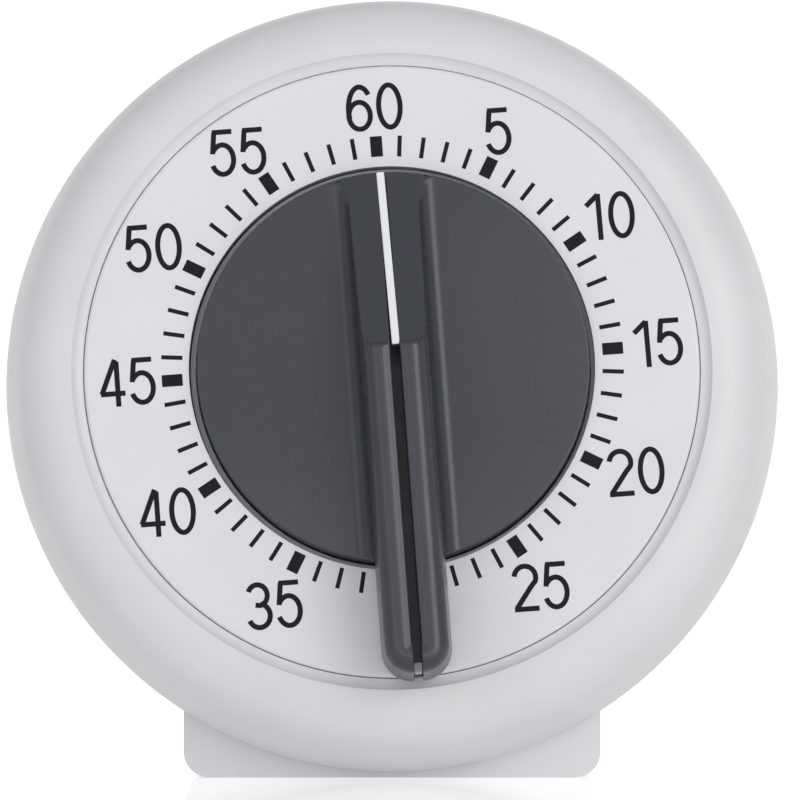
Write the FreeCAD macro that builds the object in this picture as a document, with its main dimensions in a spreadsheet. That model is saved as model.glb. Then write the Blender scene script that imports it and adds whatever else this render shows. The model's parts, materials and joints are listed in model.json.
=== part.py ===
"""Mechanical 60-minute kitchen timer, as a parametric document of separate pieces.

World frame: origin at the centre of the foot's flat underside, +Z up, the dial facing -Y.
Face frame: the movement, dial and knob share a frame that leans back with the dial. Its origin is the
centre of the dial's front, local +Z points out of the dial, local +Y up the dial, local +X to the right.
Depths are measured behind the dial's front, along local -Z. All sizes are in millimetres and degrees.
"""

import FreeCAD, Part
import math
import os
import re
import Sketcher
from FreeCAD import Placement, Rotation, Vector

X_AXIS = Vector(1, 0, 0)
Z_AXIS = Vector(0, 0, 1)

DIMENSIONS = (
    ("face_lean", 6.5, "angle by which the dial leans back from upright"),
    ("dial_height", 44.7, "centre of the dial's front above the table"),
    ("dial_setback", 24.25, "centre of the dial's front, ahead of the foot's centre"),
    ("dial_turn", 4.2, "anticlockwise turn at which the printed dial and the knob are assembled"),
    ("axis_rise", 0.3, "height of the knob's axis and the dial's hole over the case's axis, up the dial"),
    ("axis_across", 0.15, "distance of the knob's axis to the right of the case's axis"),
    ("case_radius", 42.5, "widest radius of the case, at the parting line"),
    ("case_depth", 41, "depth of the case's back"),
    ("parting_depth", 15.5, "depth of the line where bezel and rear case meet"),
    ("wall_thickness", 2, "wall of the mouldings"),
    ("crown_radius", 6, "rounding of the bezel's front"),
    ("crown_shoulder", 40.78, "radius at which the crown runs into the bezel's side"),
    ("shoulder_depth", 3.91, "depth of that change"),
    ("side_radius", 40, "rounding of the bezel's side"),
    ("crown_rise", 0.33, "height of the crown's start over the dial"),
    ("shoulder_step", 1.2, "extra depth of that change on the bezel's inside"),
    ("valley_depth", 0.5, "depth of the bezel at the seam round the dial"),
    ("valley_rounding", 1.6, "rounding of the hollow at the seam"),
    ("crown_start", 34.7, "radius at which the hollow at the seam ends"),
    ("back_radius", 39.6, "radius of the case's back before its rounded edge"),
    ("back_rounding", 5, "rounding of the back's edge"),
    ("dial_radius", 33.35, "outer radius of the dial"),
    ("dial_hole", 22, "radius of the dial's hole round the knob"),
    ("dial_thickness", 1.6, "thickness of the dial"),
    ("dial_edge", 0.4, "rounding of the dial's front edge"),
    ("dial_gap", 0.1, "gap round the dial in its seat"),
    ("peg_radius", 1, "radius of the dial's three pegs"),
    ("peg_ring", 29, "radius of the circle of pegs"),
    ("well_radius", 22.5, "radius of the knob's well"),
    ("well_depth", 7.4, "depth of the well's floor"),
    ("well_bore", 5.4, "radius of the hole in the well's floor"),
    ("seat_thickness", 1.8, "thickness of the dial's seat"),
    ("case_boss_ring", 33.8, "radius of the circle of case screws"),
    ("case_boss_radius", 3, "radius of the case screws' bosses"),
    ("movement_boss_ring", 28.2, "radius of the circle of movement screws"),
    ("movement_boss_radius", 2.4, "radius of the movement screws' bosses"),
    ("pilot_radius", 0.9, "radius of the screws' pilot holes"),
    ("head_recess", 27, "depth at which the case screws' heads sit"),
    ("recess_radius", 2.5, "radius of the case screws' recesses"),
    ("recess_wall", 1, "wall of the bosses round those recesses"),
    ("boss_start", 1.5, "distance from the case's back to those bosses"),
    ("slots_radius", 14.5, "radius of the circle that the row of sound slots fills"),
    ("slots_pitch", 4, "distance between the middles of two sound slots"),
    ("slots_width", 1.6, "width of a sound slot"),
    ("slots_rise", 4, "height of the row's middle over the knob's axis"),
    ("foot_width", 45.8, "width of the foot"),
    ("foot_length", 24.5, "length of the foot from front to back"),
    ("foot_reach", 12, "height to which the foot runs up inside the case"),
    ("foot_rounding", 2.8, "rounding of the foot's lower corners"),
    ("foot_wall", 2, "wall of the foot"),
    ("knob_radius", 21.3, "radius of the knob's disc"),
    ("knob_front", 1.2, "height of the knob's disc over the dial"),
    ("knob_plate", 2.6, "thickness of the knob's disc"),
    ("knob_skirt", 5.2, "depth of the knob's skirt"),
    ("knob_wall", 1.6, "wall of the skirt"),
    ("knob_edge", 0.4, "rounding of the disc's edge"),
    ("knob_bore", 1.8, "radius of the hub's bore, and of the arbor's end that fits it"),
    ("grip_reach", 33.9, "distance from the axis to the grip's tip"),
    ("grip_top", 10.2, "height over the dial that the grip stays under"),
    ("grip_half", 3.8, "half width of the grip at its root"),
    ("grip_shoulder", 3.4, "half width of the grip at its shoulder"),
    ("shoulder_height", 8.25, "height of the grip's shoulder over the dial"),
    ("lobe_radius", 1.85, "rounding of the two lobes either side of the grip's slot"),
    ("flare_half", 5.6, "half width of the hollow rounding at the grip's root"),
    ("flare_height", 1.9, "height of that rounding"),
    ("tip_rounding", 3.3, "rounding of the grip's tip, seen from the front"),
    ("tip_drop", 1.4, "height of the rounding at the tip, seen from the side"),
    ("tip_lean", 1.2, "length of that rounding"),
    ("tip_inset", 0.2, "distance of its foot from the end of the tip"),
    ("grip_inset", 1, "distance from the disc's edge to the grip's foot"),
    ("grip_sink", 0.5, "depth to which the grip and the disc are one"),
    ("ramp_foot", 0.25, "height of the ramp over the disc, a grip_inset from its edge"),
    ("ramp_start", 1.6, "distance above the axis at which the ramp leaves the crest"),
    ("slot_width", 1, "width of the slot along the grip"),
    ("slot_floor", 2.2, "height of the slot's floor in the overhanging part"),
    ("strip_width", 0.86, "thickness of the pointer strip"),
    ("strip_low", 3.6, "height of the strip's edge inside the slot"),
    ("strip_proud", 0.05, "height of the strip's edge over the ramp"),
    ("strip_inset", 1.9, "distance from the grip's tip to the strip's end"),
    ("hub_radius", 4.6, "radius of the knob's hub"),
    ("hub_depth", 6.9, "depth of the hub's end"),
    ("arbor_radius", 2.4, "radius of the main arbor"),
    ("running_gap", 0.05, "radial clearance of a shaft in its hole"),
    ("end_play", 0.15, "gap between a shaft's shoulder and a plate"),
    ("pivot_proud", 0.1, "length of a pivot that stands out of its plate"),
    ("plate_radius", 30, "radius of the movement's plates"),
    ("plate_thickness", 1, "thickness of the plates"),
    ("front_plate_depth", 10, "depth of the front plate's front"),
    ("back_plate_depth", 27.2, "depth of the back plate's front"),
    ("train_ring", 17.5, "radius of the circle on which the train's arbors stand"),
    ("second_angle", 150, "direction of the second arbor from the centre"),
    ("wheel_teeth", 60, "teeth of each wheel"),
    ("pinion_leaves", 10, "leaves of each pinion"),
    ("first_module", 0.5, "module of the centre wheel and the second pinion"),
    ("second_module", 0.4, "module of the second wheel and the third pinion"),
    ("third_module", 0.35, "module of the third wheel and the escape pinion"),
    ("profile_shift", 0.4, "profile shift of the pinions, and minus that of the wheels"),
    ("tooth_play", 0.06, "thickness taken off each tooth"),
    ("pin_radius", 0.9, "radius of the train's arbors"),
    ("pivot_radius", 0.5, "radius of their pivots"),
    ("pillar_radius", 1.8, "radius of the pillars between the plates"),
    ("pillar_ring", 27, "radius of the circle of pillars"),
    ("nut_radius", 2, "radius over the corners of the pillars' nuts"),
    ("nut_height", 1.3, "height of those nuts"),
    ("head_height", 1.2, "height of the screws' heads"),
    ("spring_inner", 4.2, "inner radius of the mainspring"),
    ("spring_pitch", 1.6, "distance between the mainspring's turns"),
    ("spring_turns", 7, "turns of the mainspring"),
    ("spring_leaf", 0.4, "thickness of the mainspring"),
    ("spring_depth", 12, "depth of the mainspring's front edge"),
    ("spring_width", 3.5, "width of the mainspring"),
    ("cam_depth", 16.3, "depth of the trip cam's front"),
    ("cam_radius", 6.5, "radius of the trip cam"),
    ("cam_notch", 2.4, "width of the notch that lets the striker drop"),
    ("notch_depth", 1.6, "depth of that notch"),
    ("washer_reach", 2.4, "width of the clutch washer's ring"),
    ("washer_leaf", 0.3, "thickness of that washer"),
    ("centre_depth", 18, "depth of the centre wheel's front"),
    ("second_depth", 20.2, "depth of the second wheel's front"),
    ("third_depth", 22, "depth of the third wheel's front"),
    ("escape_depth", 23.8, "depth of the escape wheel's front"),
    ("brass_wheel", 0.8, "thickness of the brass wheels"),
    ("thin_wheel", 0.6, "thickness of the moulded wheels"),
    ("leaf_overhang", 0.3, "length of a pinion's leaves beyond each face of its wheel"),
    ("wheel_spokes", 5, "lightening holes of a wheel"),
    ("spoke_gap", 0.4, "distance of those holes from the wheel's rim and hub"),
    ("escape_radius", 7, "tip radius of the escape wheel"),
    ("escape_root", 5.4, "root radius of the escape wheel"),
    ("escape_teeth", 15, "teeth of the escape wheel"),
    ("verge_distance", 9.5, "distance from the escape arbor to the verge arbor"),
    ("anchor_depth", 25, "depth of the pallet anchor's front"),
    ("anchor_thickness", 0.5, "thickness of the pallet anchor"),
    ("arm_half", 0.9, "half width of the anchor's arms, the inertia bar and the hammer's arm"),
    ("collar_radius", 1.8, "radius of the collars by which flat parts sit on their arbors"),
    ("pallet_reach", 8, "distance from the escape arbor to each pallet pin at rest"),
    ("pallet_spread", 38, "angle of each pallet pin from the line between the two arbors"),
    ("pallet_radius", 0.35, "radius of the pallet pins"),
    ("pallet_length", 2, "length of the pallet pins"),
    ("bar_depth", 25.9, "depth of the inertia bar's front"),
    ("bar_reach", 7.2, "distance from the verge arbor to the inertia bar's ends"),
    ("bar_thickness", 0.6, "thickness of the inertia bar"),
    ("weight_radius", 1.7, "radius of the weights on its ends"),
    ("weight_length", 0.9, "length of those weights"),
    ("hammer_across", 20, "sideways place of the hammer arbor in the face frame"),
    ("hammer_drop", 4, "distance of the hammer arbor below the centre"),
    ("hammer_depth", 30.4, "depth of the hammer arm's front"),
    ("hammer_thickness", 0.8, "thickness of the hammer's arm"),
    ("hammer_pivot", 0.7, "radius of the hammer arbor's rear end"),
    ("hammer_angle", -62, "direction of the hammer's head from the bell's centre"),
    ("hammer_rest", 0.9, "gap between the head at rest and the bell's rim"),
    ("lever_half", 0.6, "half width of the trip lever"),
    ("head_length", 3, "length of the hammer's head"),
    ("rivet_radius", 0.6, "radius of the rivet that holds the head"),
    ("head_radius", 2.1, "radius of the hammer head"),
    ("bell_radius", 19, "outer radius of the bell's rim"),
    ("bell_across", 3, "distance of the bell's centre to the left of the centre"),
    ("bell_rise", 5, "distance of the bell's centre above the centre"),
    ("bell_rim", 30.2, "depth of the bell's rim"),
    ("bell_height", 6.8, "height of the bell"),
    ("bell_wall", 0.8, "wall of the bell"),
    ("bell_rounding", 9, "rounding of the bell's shoulder"),
    ("bell_bore", 1.2, "radius of the bell's hole and of its screw"),
    ("post_radius", 1.8, "radius of the bell's post"),
    ("screw_grip", 4, "length of the bell's screw in that post"),
)

doc = FreeCAD.newDocument("kitchen_timer")
sheet = doc.addObject("Spreadsheet::Sheet", "Dimensions")
for row, (alias, value, meaning) in enumerate(DIMENSIONS, start=1):
    sheet.set(f"A{row}", meaning)
    sheet.set(f"B{row}", str(value))
    sheet.setAlias(f"B{row}", alias)
doc.recompute()


# ---------------------------------------------------------------- sheet, placements and sketches


def size(formula):
    """The number that a formula of the sheet's aliases gives."""
    return float(sheet.evalExpression(str(formula)))


def linked(formula):
    """The formula as another object writes it: each alias, which always has an underscore, gets the sheet's
    name."""
    return re.sub(r"\b([a-z]+(?:_[a-z]+)+)\b", r"Dimensions.\1", str(formula))


def bind(thing, **formulas):
    for name, formula in formulas.items():
        thing.setExpression(name, linked(formula))
    return thing


FACE = Placement(
    Vector(0, -size("dial_setback"), size("dial_height")),
    Rotation(X_AXIS, 90 - size("face_lean")),
)
REST_TURN = size("dial_turn")


def on_face(x=0, y=0, z=0, turn=0):
    """A placement in the face frame."""
    return FACE.multiply(Placement(Vector(x, y, z), Rotation(Z_AXIS, turn)))


def on_axis(x=0, y=0, z=0, turn=0):
    """A placement in the face frame, counted from the knob's axis."""
    return on_face(x + size("axis_across"), y + size("axis_rise"), z, turn)


def around(ring, angle):
    """The point on a circle round the centre, in the face frame."""
    return ring * math.cos(math.radians(angle)), ring * math.sin(math.radians(angle))


def new_body(label, place=None):
    body = doc.addObject("PartDesign::Body", label)
    body.Label = label
    body.Placement = place or on_axis()
    return body


def new_sketch(body, role, offset=0):
    """A sketch on one of the body's own origin planes, moved along that plane's normal."""
    sketch = body.newObject("Sketcher::SketchObject", body.Name + "_sketch")
    plane = [feature for feature in body.Origin.OriginFeatures if feature.Role == role][0]
    sketch.AttachmentSupport = [(plane, "")]
    sketch.MapMode = "FlatFace"
    sketch.AttachmentOffset = Placement(Vector(0, 0, size(offset)), Rotation())
    return sketch


def fix_point(sketch, edge, end, across, up):
    """Hold one end of an edge at the place that two formulas give."""
    for kind, axis, formula in (("DistanceX", -2, across), ("DistanceY", -1, up)):
        if str(formula) == "0":
            sketch.addConstraint(Sketcher.Constraint("PointOnObject", edge, end, axis))
            continue
        place = Sketcher.Constraint(kind, -1, 1, edge, end, size(formula))
        number = sketch.addConstraint(place)
        sketch.setExpression(f"Constraints[{number}]", linked(formula))


def draw_outline(sketch, corners, arcs=None):
    """Draw a closed outline. Each corner is a pair of formulas. arcs gives the radius of the edge that
    leaves a corner, positive where it bends to the left and negative where it bends to the right."""
    arcs = arcs or {}
    points = [Vector(size(across), size(up), 0) for across, up in corners]
    ends = []
    for number, start in enumerate(points):
        stop = points[(number + 1) % len(points)]
        if number not in arcs:
            sketch.addGeometry(Part.LineSegment(start, stop))
            ends.append((1, 2))
            continue
        radius = size(arcs[number])
        chord = stop - start
        side = Vector(-chord.y, chord.x, 0).normalize() * math.copysign(1, radius)
        rise = math.sqrt(max(radius**2 - (chord.Length / 2) ** 2, 0))
        centre = (start + stop) * 0.5 + side * rise
        first, last = (start, stop) if radius > 0 else (stop, start)
        angles = [math.atan2(point.y - centre.y, point.x - centre.x) for point in (first, last)]
        circle = Part.Circle(centre, Z_AXIS, abs(radius))
        sketch.addGeometry(Part.ArcOfCircle(circle, angles[0], angles[1]))
        ends.append((1, 2) if radius > 0 else (2, 1))
    for number in range(len(points)):
        after = (number + 1) % len(points)
        joined = Sketcher.Constraint("Coincident", number, ends[number][1], after, ends[after][0])
        sketch.addConstraint(joined)
    for number, (across, up) in enumerate(corners):
        fix_point(sketch, number, ends[number][0], across, up)
    for number, radius in arcs.items():
        held = sketch.addConstraint(Sketcher.Constraint("Radius", number, abs(size(radius))))
        sketch.setExpression(f"Constraints[{held}]", f"abs({linked(radius)})")
    return sketch


def draw_circles(sketch, radius, centres):
    for number, (across, up) in enumerate(centres):
        circle = Part.Circle(Vector(size(across), size(up), 0), Z_AXIS, size(radius))
        sketch.addGeometry(circle)
        fix_point(sketch, number, 3, across, up)
        held = sketch.addConstraint(Sketcher.Constraint("Radius", number, size(radius)))
        sketch.setExpression(f"Constraints[{held}]", linked(radius))
    return sketch


def ring_of(ring, angles, across="0", up="0"):
    """Formulas for the centres of things that stand on a circle."""
    return [(f"{across} + {ring} * cos({angle})", f"{up} + {ring} * sin({angle})") for angle in angles]


def turned(label, corners, arcs=None, place=None):
    """A body made by turning an outline of (radius, height) corners about its axis."""
    body = new_body(label, place)
    sketch = draw_outline(new_sketch(body, "XZ_Plane"), corners, arcs)
    feature = body.newObject("PartDesign::Revolution", label + "_turned")
    feature.Profile = (sketch, [""])
    feature.ReferenceAxis = (sketch, ["V_Axis"])
    feature.Angle = 360
    return body


def pad(body, sketch, length, reverse=False, both_ways=False):
    feature = body.newObject("PartDesign::Pad", body.Name + "_pad")
    feature.Profile = (sketch, [""])
    bind(feature, Length=length)
    feature.Reversed = reverse
    feature.Midplane = both_ways
    return body


def pocket(body, sketch, length=None):
    """Cut a sketch into the body, away from the sketch's own side, and make sure that it took something."""
    doc.recompute()
    before = body.Shape.Volume
    feature = body.newObject("PartDesign::Pocket", body.Name + "_pocket")
    feature.Profile = (sketch, [""])
    if length:
        bind(feature, Length=length)
    else:
        feature.Type = "ThroughAll"
    doc.recompute()
    if body.Shape.Volume > before - 1e-6:
        raise ValueError(f"a pocket of {body.Label} cuts nothing")
    return body


def primitive(kind, label, place, **formulas):
    thing = doc.addObject(kind, label)
    thing.Label = label
    bind(thing, **formulas)
    thing.Placement = place
    return thing


def combined(kind, label, things):
    """A fusion, common or compound of several objects."""
    thing = doc.addObject(kind, label)
    thing.Label = label
    if kind == "Part::Compound":
        thing.Links = things
    else:
        thing.Shapes = things
    return thing


def cut(label, base, tool):
    thing = doc.addObject("Part::Cut", label)
    thing.Label = label
    thing.Base = base
    thing.Tool = tool
    return thing


def shaped(label, shape, place):
    """A piece whose shape is made directly, such as a toothed wheel or a coiled spring."""
    thing = doc.addObject("Part::Feature", label)
    thing.Label = label
    thing.Shape = shape
    thing.Placement = place
    return thing


# ---------------------------------------------------------------- case

CASE_SCREW_ANGLES = (90, 210, 330)
MOVEMENT_SCREW_ANGLES = (45, 165, 285)
PILLAR_ANGLES = (105, 225, 345)
PEG_ANGLES = (15, 135, 255)


def front_bezel():
    """The front half of the case: a rounded rim, the dial's seat and the knob's well in one moulding."""
    seat = "-dial_thickness"
    under = "-dial_thickness - seat_thickness"
    floor = "-well_depth - wall_thickness"
    corners = (
        ("dial_radius + dial_gap", seat),
        ("dial_radius + dial_gap", "-valley_depth"),
        ("crown_start", "crown_rise"),
        ("crown_shoulder", "-shoulder_depth"),
        ("case_radius", "-parting_depth"),
        ("case_radius - wall_thickness", "-parting_depth"),
        ("crown_shoulder - wall_thickness", "-shoulder_depth - shoulder_step"),
        ("crown_start + 1", under),
        ("well_radius + wall_thickness", under),
        ("well_radius + wall_thickness", floor),
        ("well_bore", floor),
        ("well_bore", "-well_depth"),
        ("well_radius", "-well_depth"),
        ("well_radius", seat),
    )
    arcs = {
        1: "valley_rounding",
        2: "-crown_radius",
        3: "-side_radius",
        5: "side_radius - wall_thickness",
        6: "crown_radius - wall_thickness",
    }
    body = turned("front_bezel", corners, arcs, on_face())
    bosses = new_sketch(body, "XY_Plane", "-parting_depth")
    draw_circles(bosses, "case_boss_radius", ring_of("case_boss_ring", CASE_SCREW_ANGLES))
    pad(body, bosses, "parting_depth - dial_thickness - seat_thickness / 2")
    lugs = new_sketch(body, "XY_Plane", "-front_plate_depth")
    screws = ring_of("movement_boss_ring", MOVEMENT_SCREW_ANGLES, "axis_across", "axis_rise")
    draw_circles(lugs, "movement_boss_radius", screws)
    pad(body, lugs, "front_plate_depth - dial_thickness - seat_thickness / 2")
    pilots = new_sketch(body, "XY_Plane", "-dial_thickness - seat_thickness")
    draw_circles(pilots, "pilot_radius", ring_of("case_boss_ring", CASE_SCREW_ANGLES) + screws)
    pocket(body, pilots, "parting_depth")
    pegs = new_sketch(body, "XY_Plane")
    draw_circles(pegs, "peg_radius + running_gap", ring_of("peg_ring", PEG_ANGLES))
    return pocket(body, pegs)


def dial_plate():
    """The printed dial: a disc with a rounded front edge, a hole for the knob, and three locating pegs."""
    corners = (
        ("0", "-dial_thickness"),
        ("dial_radius", "-dial_thickness"),
        ("dial_radius", "-dial_edge"),
        ("dial_radius - dial_edge", "0"),
        ("0", "0"),
    )
    body = turned("dial_plate", corners, {2: "dial_edge"}, on_face(turn=REST_TURN))
    hole = new_sketch(body, "XY_Plane")
    draw_circles(hole, "dial_hole", [("axis_rise * sin(dial_turn)", "axis_rise * cos(dial_turn)")])
    pocket(body, hole)
    pegs = new_sketch(body, "XY_Plane", "-dial_thickness")
    angles = [angle - REST_TURN for angle in PEG_ANGLES]
    draw_circles(pegs, "peg_radius", ring_of("peg_ring", angles))
    return pad(body, pegs, "seat_thickness", reverse=True)


def rear_case():
    """The rear half of the case with its foot: a hollow moulding with screw bosses and the bell's slots."""
    outer = turned(
        "rear_case_outside",
        (
            ("0", "-parting_depth"),
            ("0", "-case_depth"),
            ("back_radius - back_rounding", "-case_depth"),
            ("back_radius", "-case_depth + back_rounding"),
            ("case_radius", "-parting_depth"),
        ),
        {2: "back_rounding", 3: "side_radius * 4"},
        on_face(),
    )
    inner = turned(
        "rear_case_inside",
        (
            ("0", "-parting_depth + 1"),
            ("0", "-case_depth + wall_thickness"),
            ("back_radius - back_rounding", "-case_depth + wall_thickness"),
            ("back_radius - wall_thickness", "-case_depth + back_rounding"),
            ("case_radius - wall_thickness", "-parting_depth"),
            ("case_radius - wall_thickness", "-parting_depth + 1"),
        ),
        {2: "back_rounding - wall_thickness", 3: "side_radius * 4"},
        on_face(),
    )
    block = primitive(
        "Part::Box",
        "foot_block",
        Placement(Vector(-size("foot_width") / 2, -size("foot_length") / 2, 0), Rotation()),
        Length="foot_width",
        Width="foot_length",
        Height="foot_reach",
    )
    doc.recompute()
    rounded = doc.addObject("Part::Fillet", "foot_rounded")
    rounded.Base = block
    rounded.Edges = [
        (number, size("foot_rounding"), size("foot_rounding"))
        for number, edge in enumerate(block.Shape.Edges, start=1)
        if edge.BoundBox.ZMax < 1e-6 and edge.BoundBox.XLength < 1e-6
    ]
    wall = size("foot_wall")
    low = Vector(wall - size("foot_width") / 2, wall - size("foot_length") / 2, wall)
    hollow = primitive(
        "Part::Box",
        "foot_hollow",
        Placement(low, Rotation()),
        Length="foot_width - 2 * foot_wall",
        Width="foot_length - 2 * foot_wall",
        Height="foot_reach",
    )
    solid = combined("Part::MultiFuse", "rear_case_solid", [outer, rounded])
    space = combined("Part::MultiFuse", "rear_case_space", [inner, hollow])
    shell = cut("rear_case_shell", solid, space)
    bosses = []
    drilled = []
    for number, angle in enumerate(CASE_SCREW_ANGLES, start=1):
        x, y = around(size("case_boss_ring"), angle)
        bottom = on_face(x, y, size("boss_start - case_depth"))
        bosses.append(
            primitive(
                "Part::Cylinder",
                f"rear_boss_{number}",
                bottom,
                Radius="recess_radius + recess_wall",
                Height="case_depth - parting_depth - boss_start",
            )
        )
        drilled.append(
            primitive(
                "Part::Cylinder",
                f"screw_recess_{number}",
                on_face(x, y, -size("case_depth") - 1),
                Radius="recess_radius",
                Height="case_depth - head_recess + 1",
            )
        )
        drilled.append(
            primitive(
                "Part::Cylinder",
                f"screw_way_{number}",
                bottom,
                Radius="pilot_radius + 0.5",
                Height="case_depth",
            )
        )
    # the bell is heard through a row of upright slots in the back, longest in the middle
    for number, column in enumerate(range(-3, 4), start=1):
        across = column * size("slots_pitch")
        length = 2 * math.sqrt(size("slots_radius") ** 2 - across**2)
        bar = rounded_slot(size("slots_width"), length, 2 * size("wall_thickness"))
        place = on_axis(across, size("slots_rise"), -size("case_depth") - 1)
        drilled.append(shaped(f"sound_slot_{number}", bar, place))
    filled = combined("Part::MultiFuse", "rear_case_filled", [shell] + bosses)
    removed = combined("Part::MultiFuse", "rear_case_holes", drilled)
    return cut("rear_case", filled, removed)


def rounded_slot(width, length, depth):
    """A solid bar with round ends, standing on the XY plane with its length along Y."""
    reach = (length - width) / 2
    middle = Part.makeBox(width, 2 * reach, depth, Vector(-width / 2, -reach, 0))
    ends = [Part.makeCylinder(width / 2, depth, Vector(0, side * reach, 0)) for side in (-1, 1)]
    return middle.multiFuse(ends).removeSplitter()


# ---------------------------------------------------------------- knob


def knob():
    """The grey knob: a disc with a skirt and a hub, and the grip that stands on it and overhangs it."""
    under = "knob_front - knob_plate"
    disc = turned(
        "knob_disc",
        (
            ("knob_bore", under),
            ("knob_bore", "-hub_depth"),
            ("hub_radius", "-hub_depth"),
            ("hub_radius", under),
            ("knob_radius - knob_wall", under),
            ("knob_radius - knob_wall", "-knob_skirt"),
            ("knob_radius", "-knob_skirt"),
            ("knob_radius", "knob_front - knob_edge"),
            ("knob_radius - knob_edge", "knob_front"),
            ("0", "knob_front"),
            ("0", under),
        ),
        {7: "knob_edge"},
        on_axis(turn=REST_TURN),
    )
    turn = on_axis(turn=REST_TURN)
    section = new_body("grip_section", turn)
    across_lobe = "(grip_shoulder - lobe_radius - slot_width / 2)"
    half = (
        ("flare_half", "0"),
        ("flare_half", "knob_front"),
        ("grip_half", "knob_front + flare_height"),
        ("grip_shoulder", "shoulder_height"),
        ("slot_width / 2", f"shoulder_height + sqrt(lobe_radius ^ 2 - {across_lobe} ^ 2)"),
    )
    corners = [("-" + across, up) for across, up in half] + list(reversed(half))
    arcs = {1: "flare_height", 3: "-lobe_radius", 5: "-lobe_radius", 7: "flare_height"}
    sketch = draw_outline(new_sketch(section, "XZ_Plane"), corners, arcs)
    pad(section, sketch, "2 * grip_reach + 4", both_ways=True)
    plan = new_body("grip_plan", turn)
    foot = "(knob_radius - grip_inset)"
    plan_corners = (
        ("tip_rounding - grip_half", "-grip_reach"),
        ("grip_half - tip_rounding", "-grip_reach"),
        ("grip_half", "tip_rounding - grip_reach"),
        ("grip_half", "-" + foot),
        ("flare_half", "-" + foot),
        ("flare_half", foot),
        ("-flare_half", foot),
        ("-flare_half", "-" + foot),
        ("-grip_half", "-" + foot),
        ("-grip_half", "tip_rounding - grip_reach"),
    )
    plan_sketch = new_sketch(plan, "XY_Plane")
    draw_outline(plan_sketch, plan_corners, {1: "tip_rounding", 9: "tip_rounding"})
    pad(plan, plan_sketch, "grip_top + 2")
    side = new_body("grip_side", turn)
    side_corners = (
        ("-grip_reach", "knob_front"),
        ("-" + foot, "knob_front"),
        ("-" + foot, "knob_front - grip_sink"),
        (foot, "knob_front - grip_sink"),
        (foot, "knob_front + ramp_foot"),
        ("ramp_start", "grip_top"),
        ("tip_inset + tip_lean - grip_reach", "grip_top"),
        ("tip_inset - grip_reach", "grip_top - tip_drop"),
    )
    side_sketch = draw_outline(new_sketch(side, "YZ_Plane"), side_corners, {6: "tip_drop + 0.1"})
    pad(side, side_sketch, "2 * flare_half + 2", both_ways=True)
    grip = combined("Part::MultiCommon", "grip", [section, plan, side])
    whole = combined("Part::MultiFuse", "knob_whole", [disc, grip])
    slot = blade("grip_slot", "slot_width", "-grip_reach - 1", "grip_top + 2", "1")
    return cut("knob", whole, slot)


def blade(label, width, tip, low_edge, proud):
    """A flat blade in the grip's middle plane: it stands proud of the ramp above the axis, and below the
    axis its front edge is at low_edge, as far as the tip."""
    body = new_body(label, on_axis(turn=REST_TURN))
    corners = (
        (tip, "slot_floor"),
        ("1.5 - knob_radius", "slot_floor"),
        ("1.5 - knob_radius", "knob_front - 0.9"),
        ("knob_radius - 0.1", "knob_front - 0.9"),
        ("knob_radius - 0.1", f"knob_front - 0.15 + {proud}"),
        ("ramp_start", f"grip_top - 0.05 + {proud}"),
        ("ramp_start - 0.2", f"grip_top - 0.05 + {proud}"),
        ("ramp_start - 0.2", low_edge),
        (tip, low_edge),
    )
    sketch = draw_outline(new_sketch(body, "YZ_Plane"), corners)
    return pad(body, sketch, width, both_ways=True)


def pointer_strip():
    """The white strip in the grip's slot, which points at the minutes."""
    return blade("pointer_strip", "strip_width", "strip_inset - grip_reach", "strip_low", "strip_proud")


# ---------------------------------------------------------------- movement


def plate(label, depth, holes):
    """A round steel plate with the holes given: the formulas of a radius, and those of its centres."""
    body = turned(
        label,
        (
            ("0", f"-{depth} - plate_thickness"),
            ("plate_radius", f"-{depth} - plate_thickness"),
            ("plate_radius", f"-{depth}"),
            ("0", f"-{depth}"),
        ),
    )
    for radius, centres in holes.items():
        pocket(body, draw_circles(new_sketch(body, "XY_Plane"), radius, centres))
    return body


def pin(label, place, steps):
    """A turned steel shaft. steps gives the radius, front depth and back depth of each step."""
    corners = [("0", f"-({steps[-1][2]})"), ("0", f"-({steps[0][1]})")]
    for radius, front, back in steps:
        corners += [(radius, f"-({front})"), (radius, f"-({back})")]
    return turned(label, corners, None, place)


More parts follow.
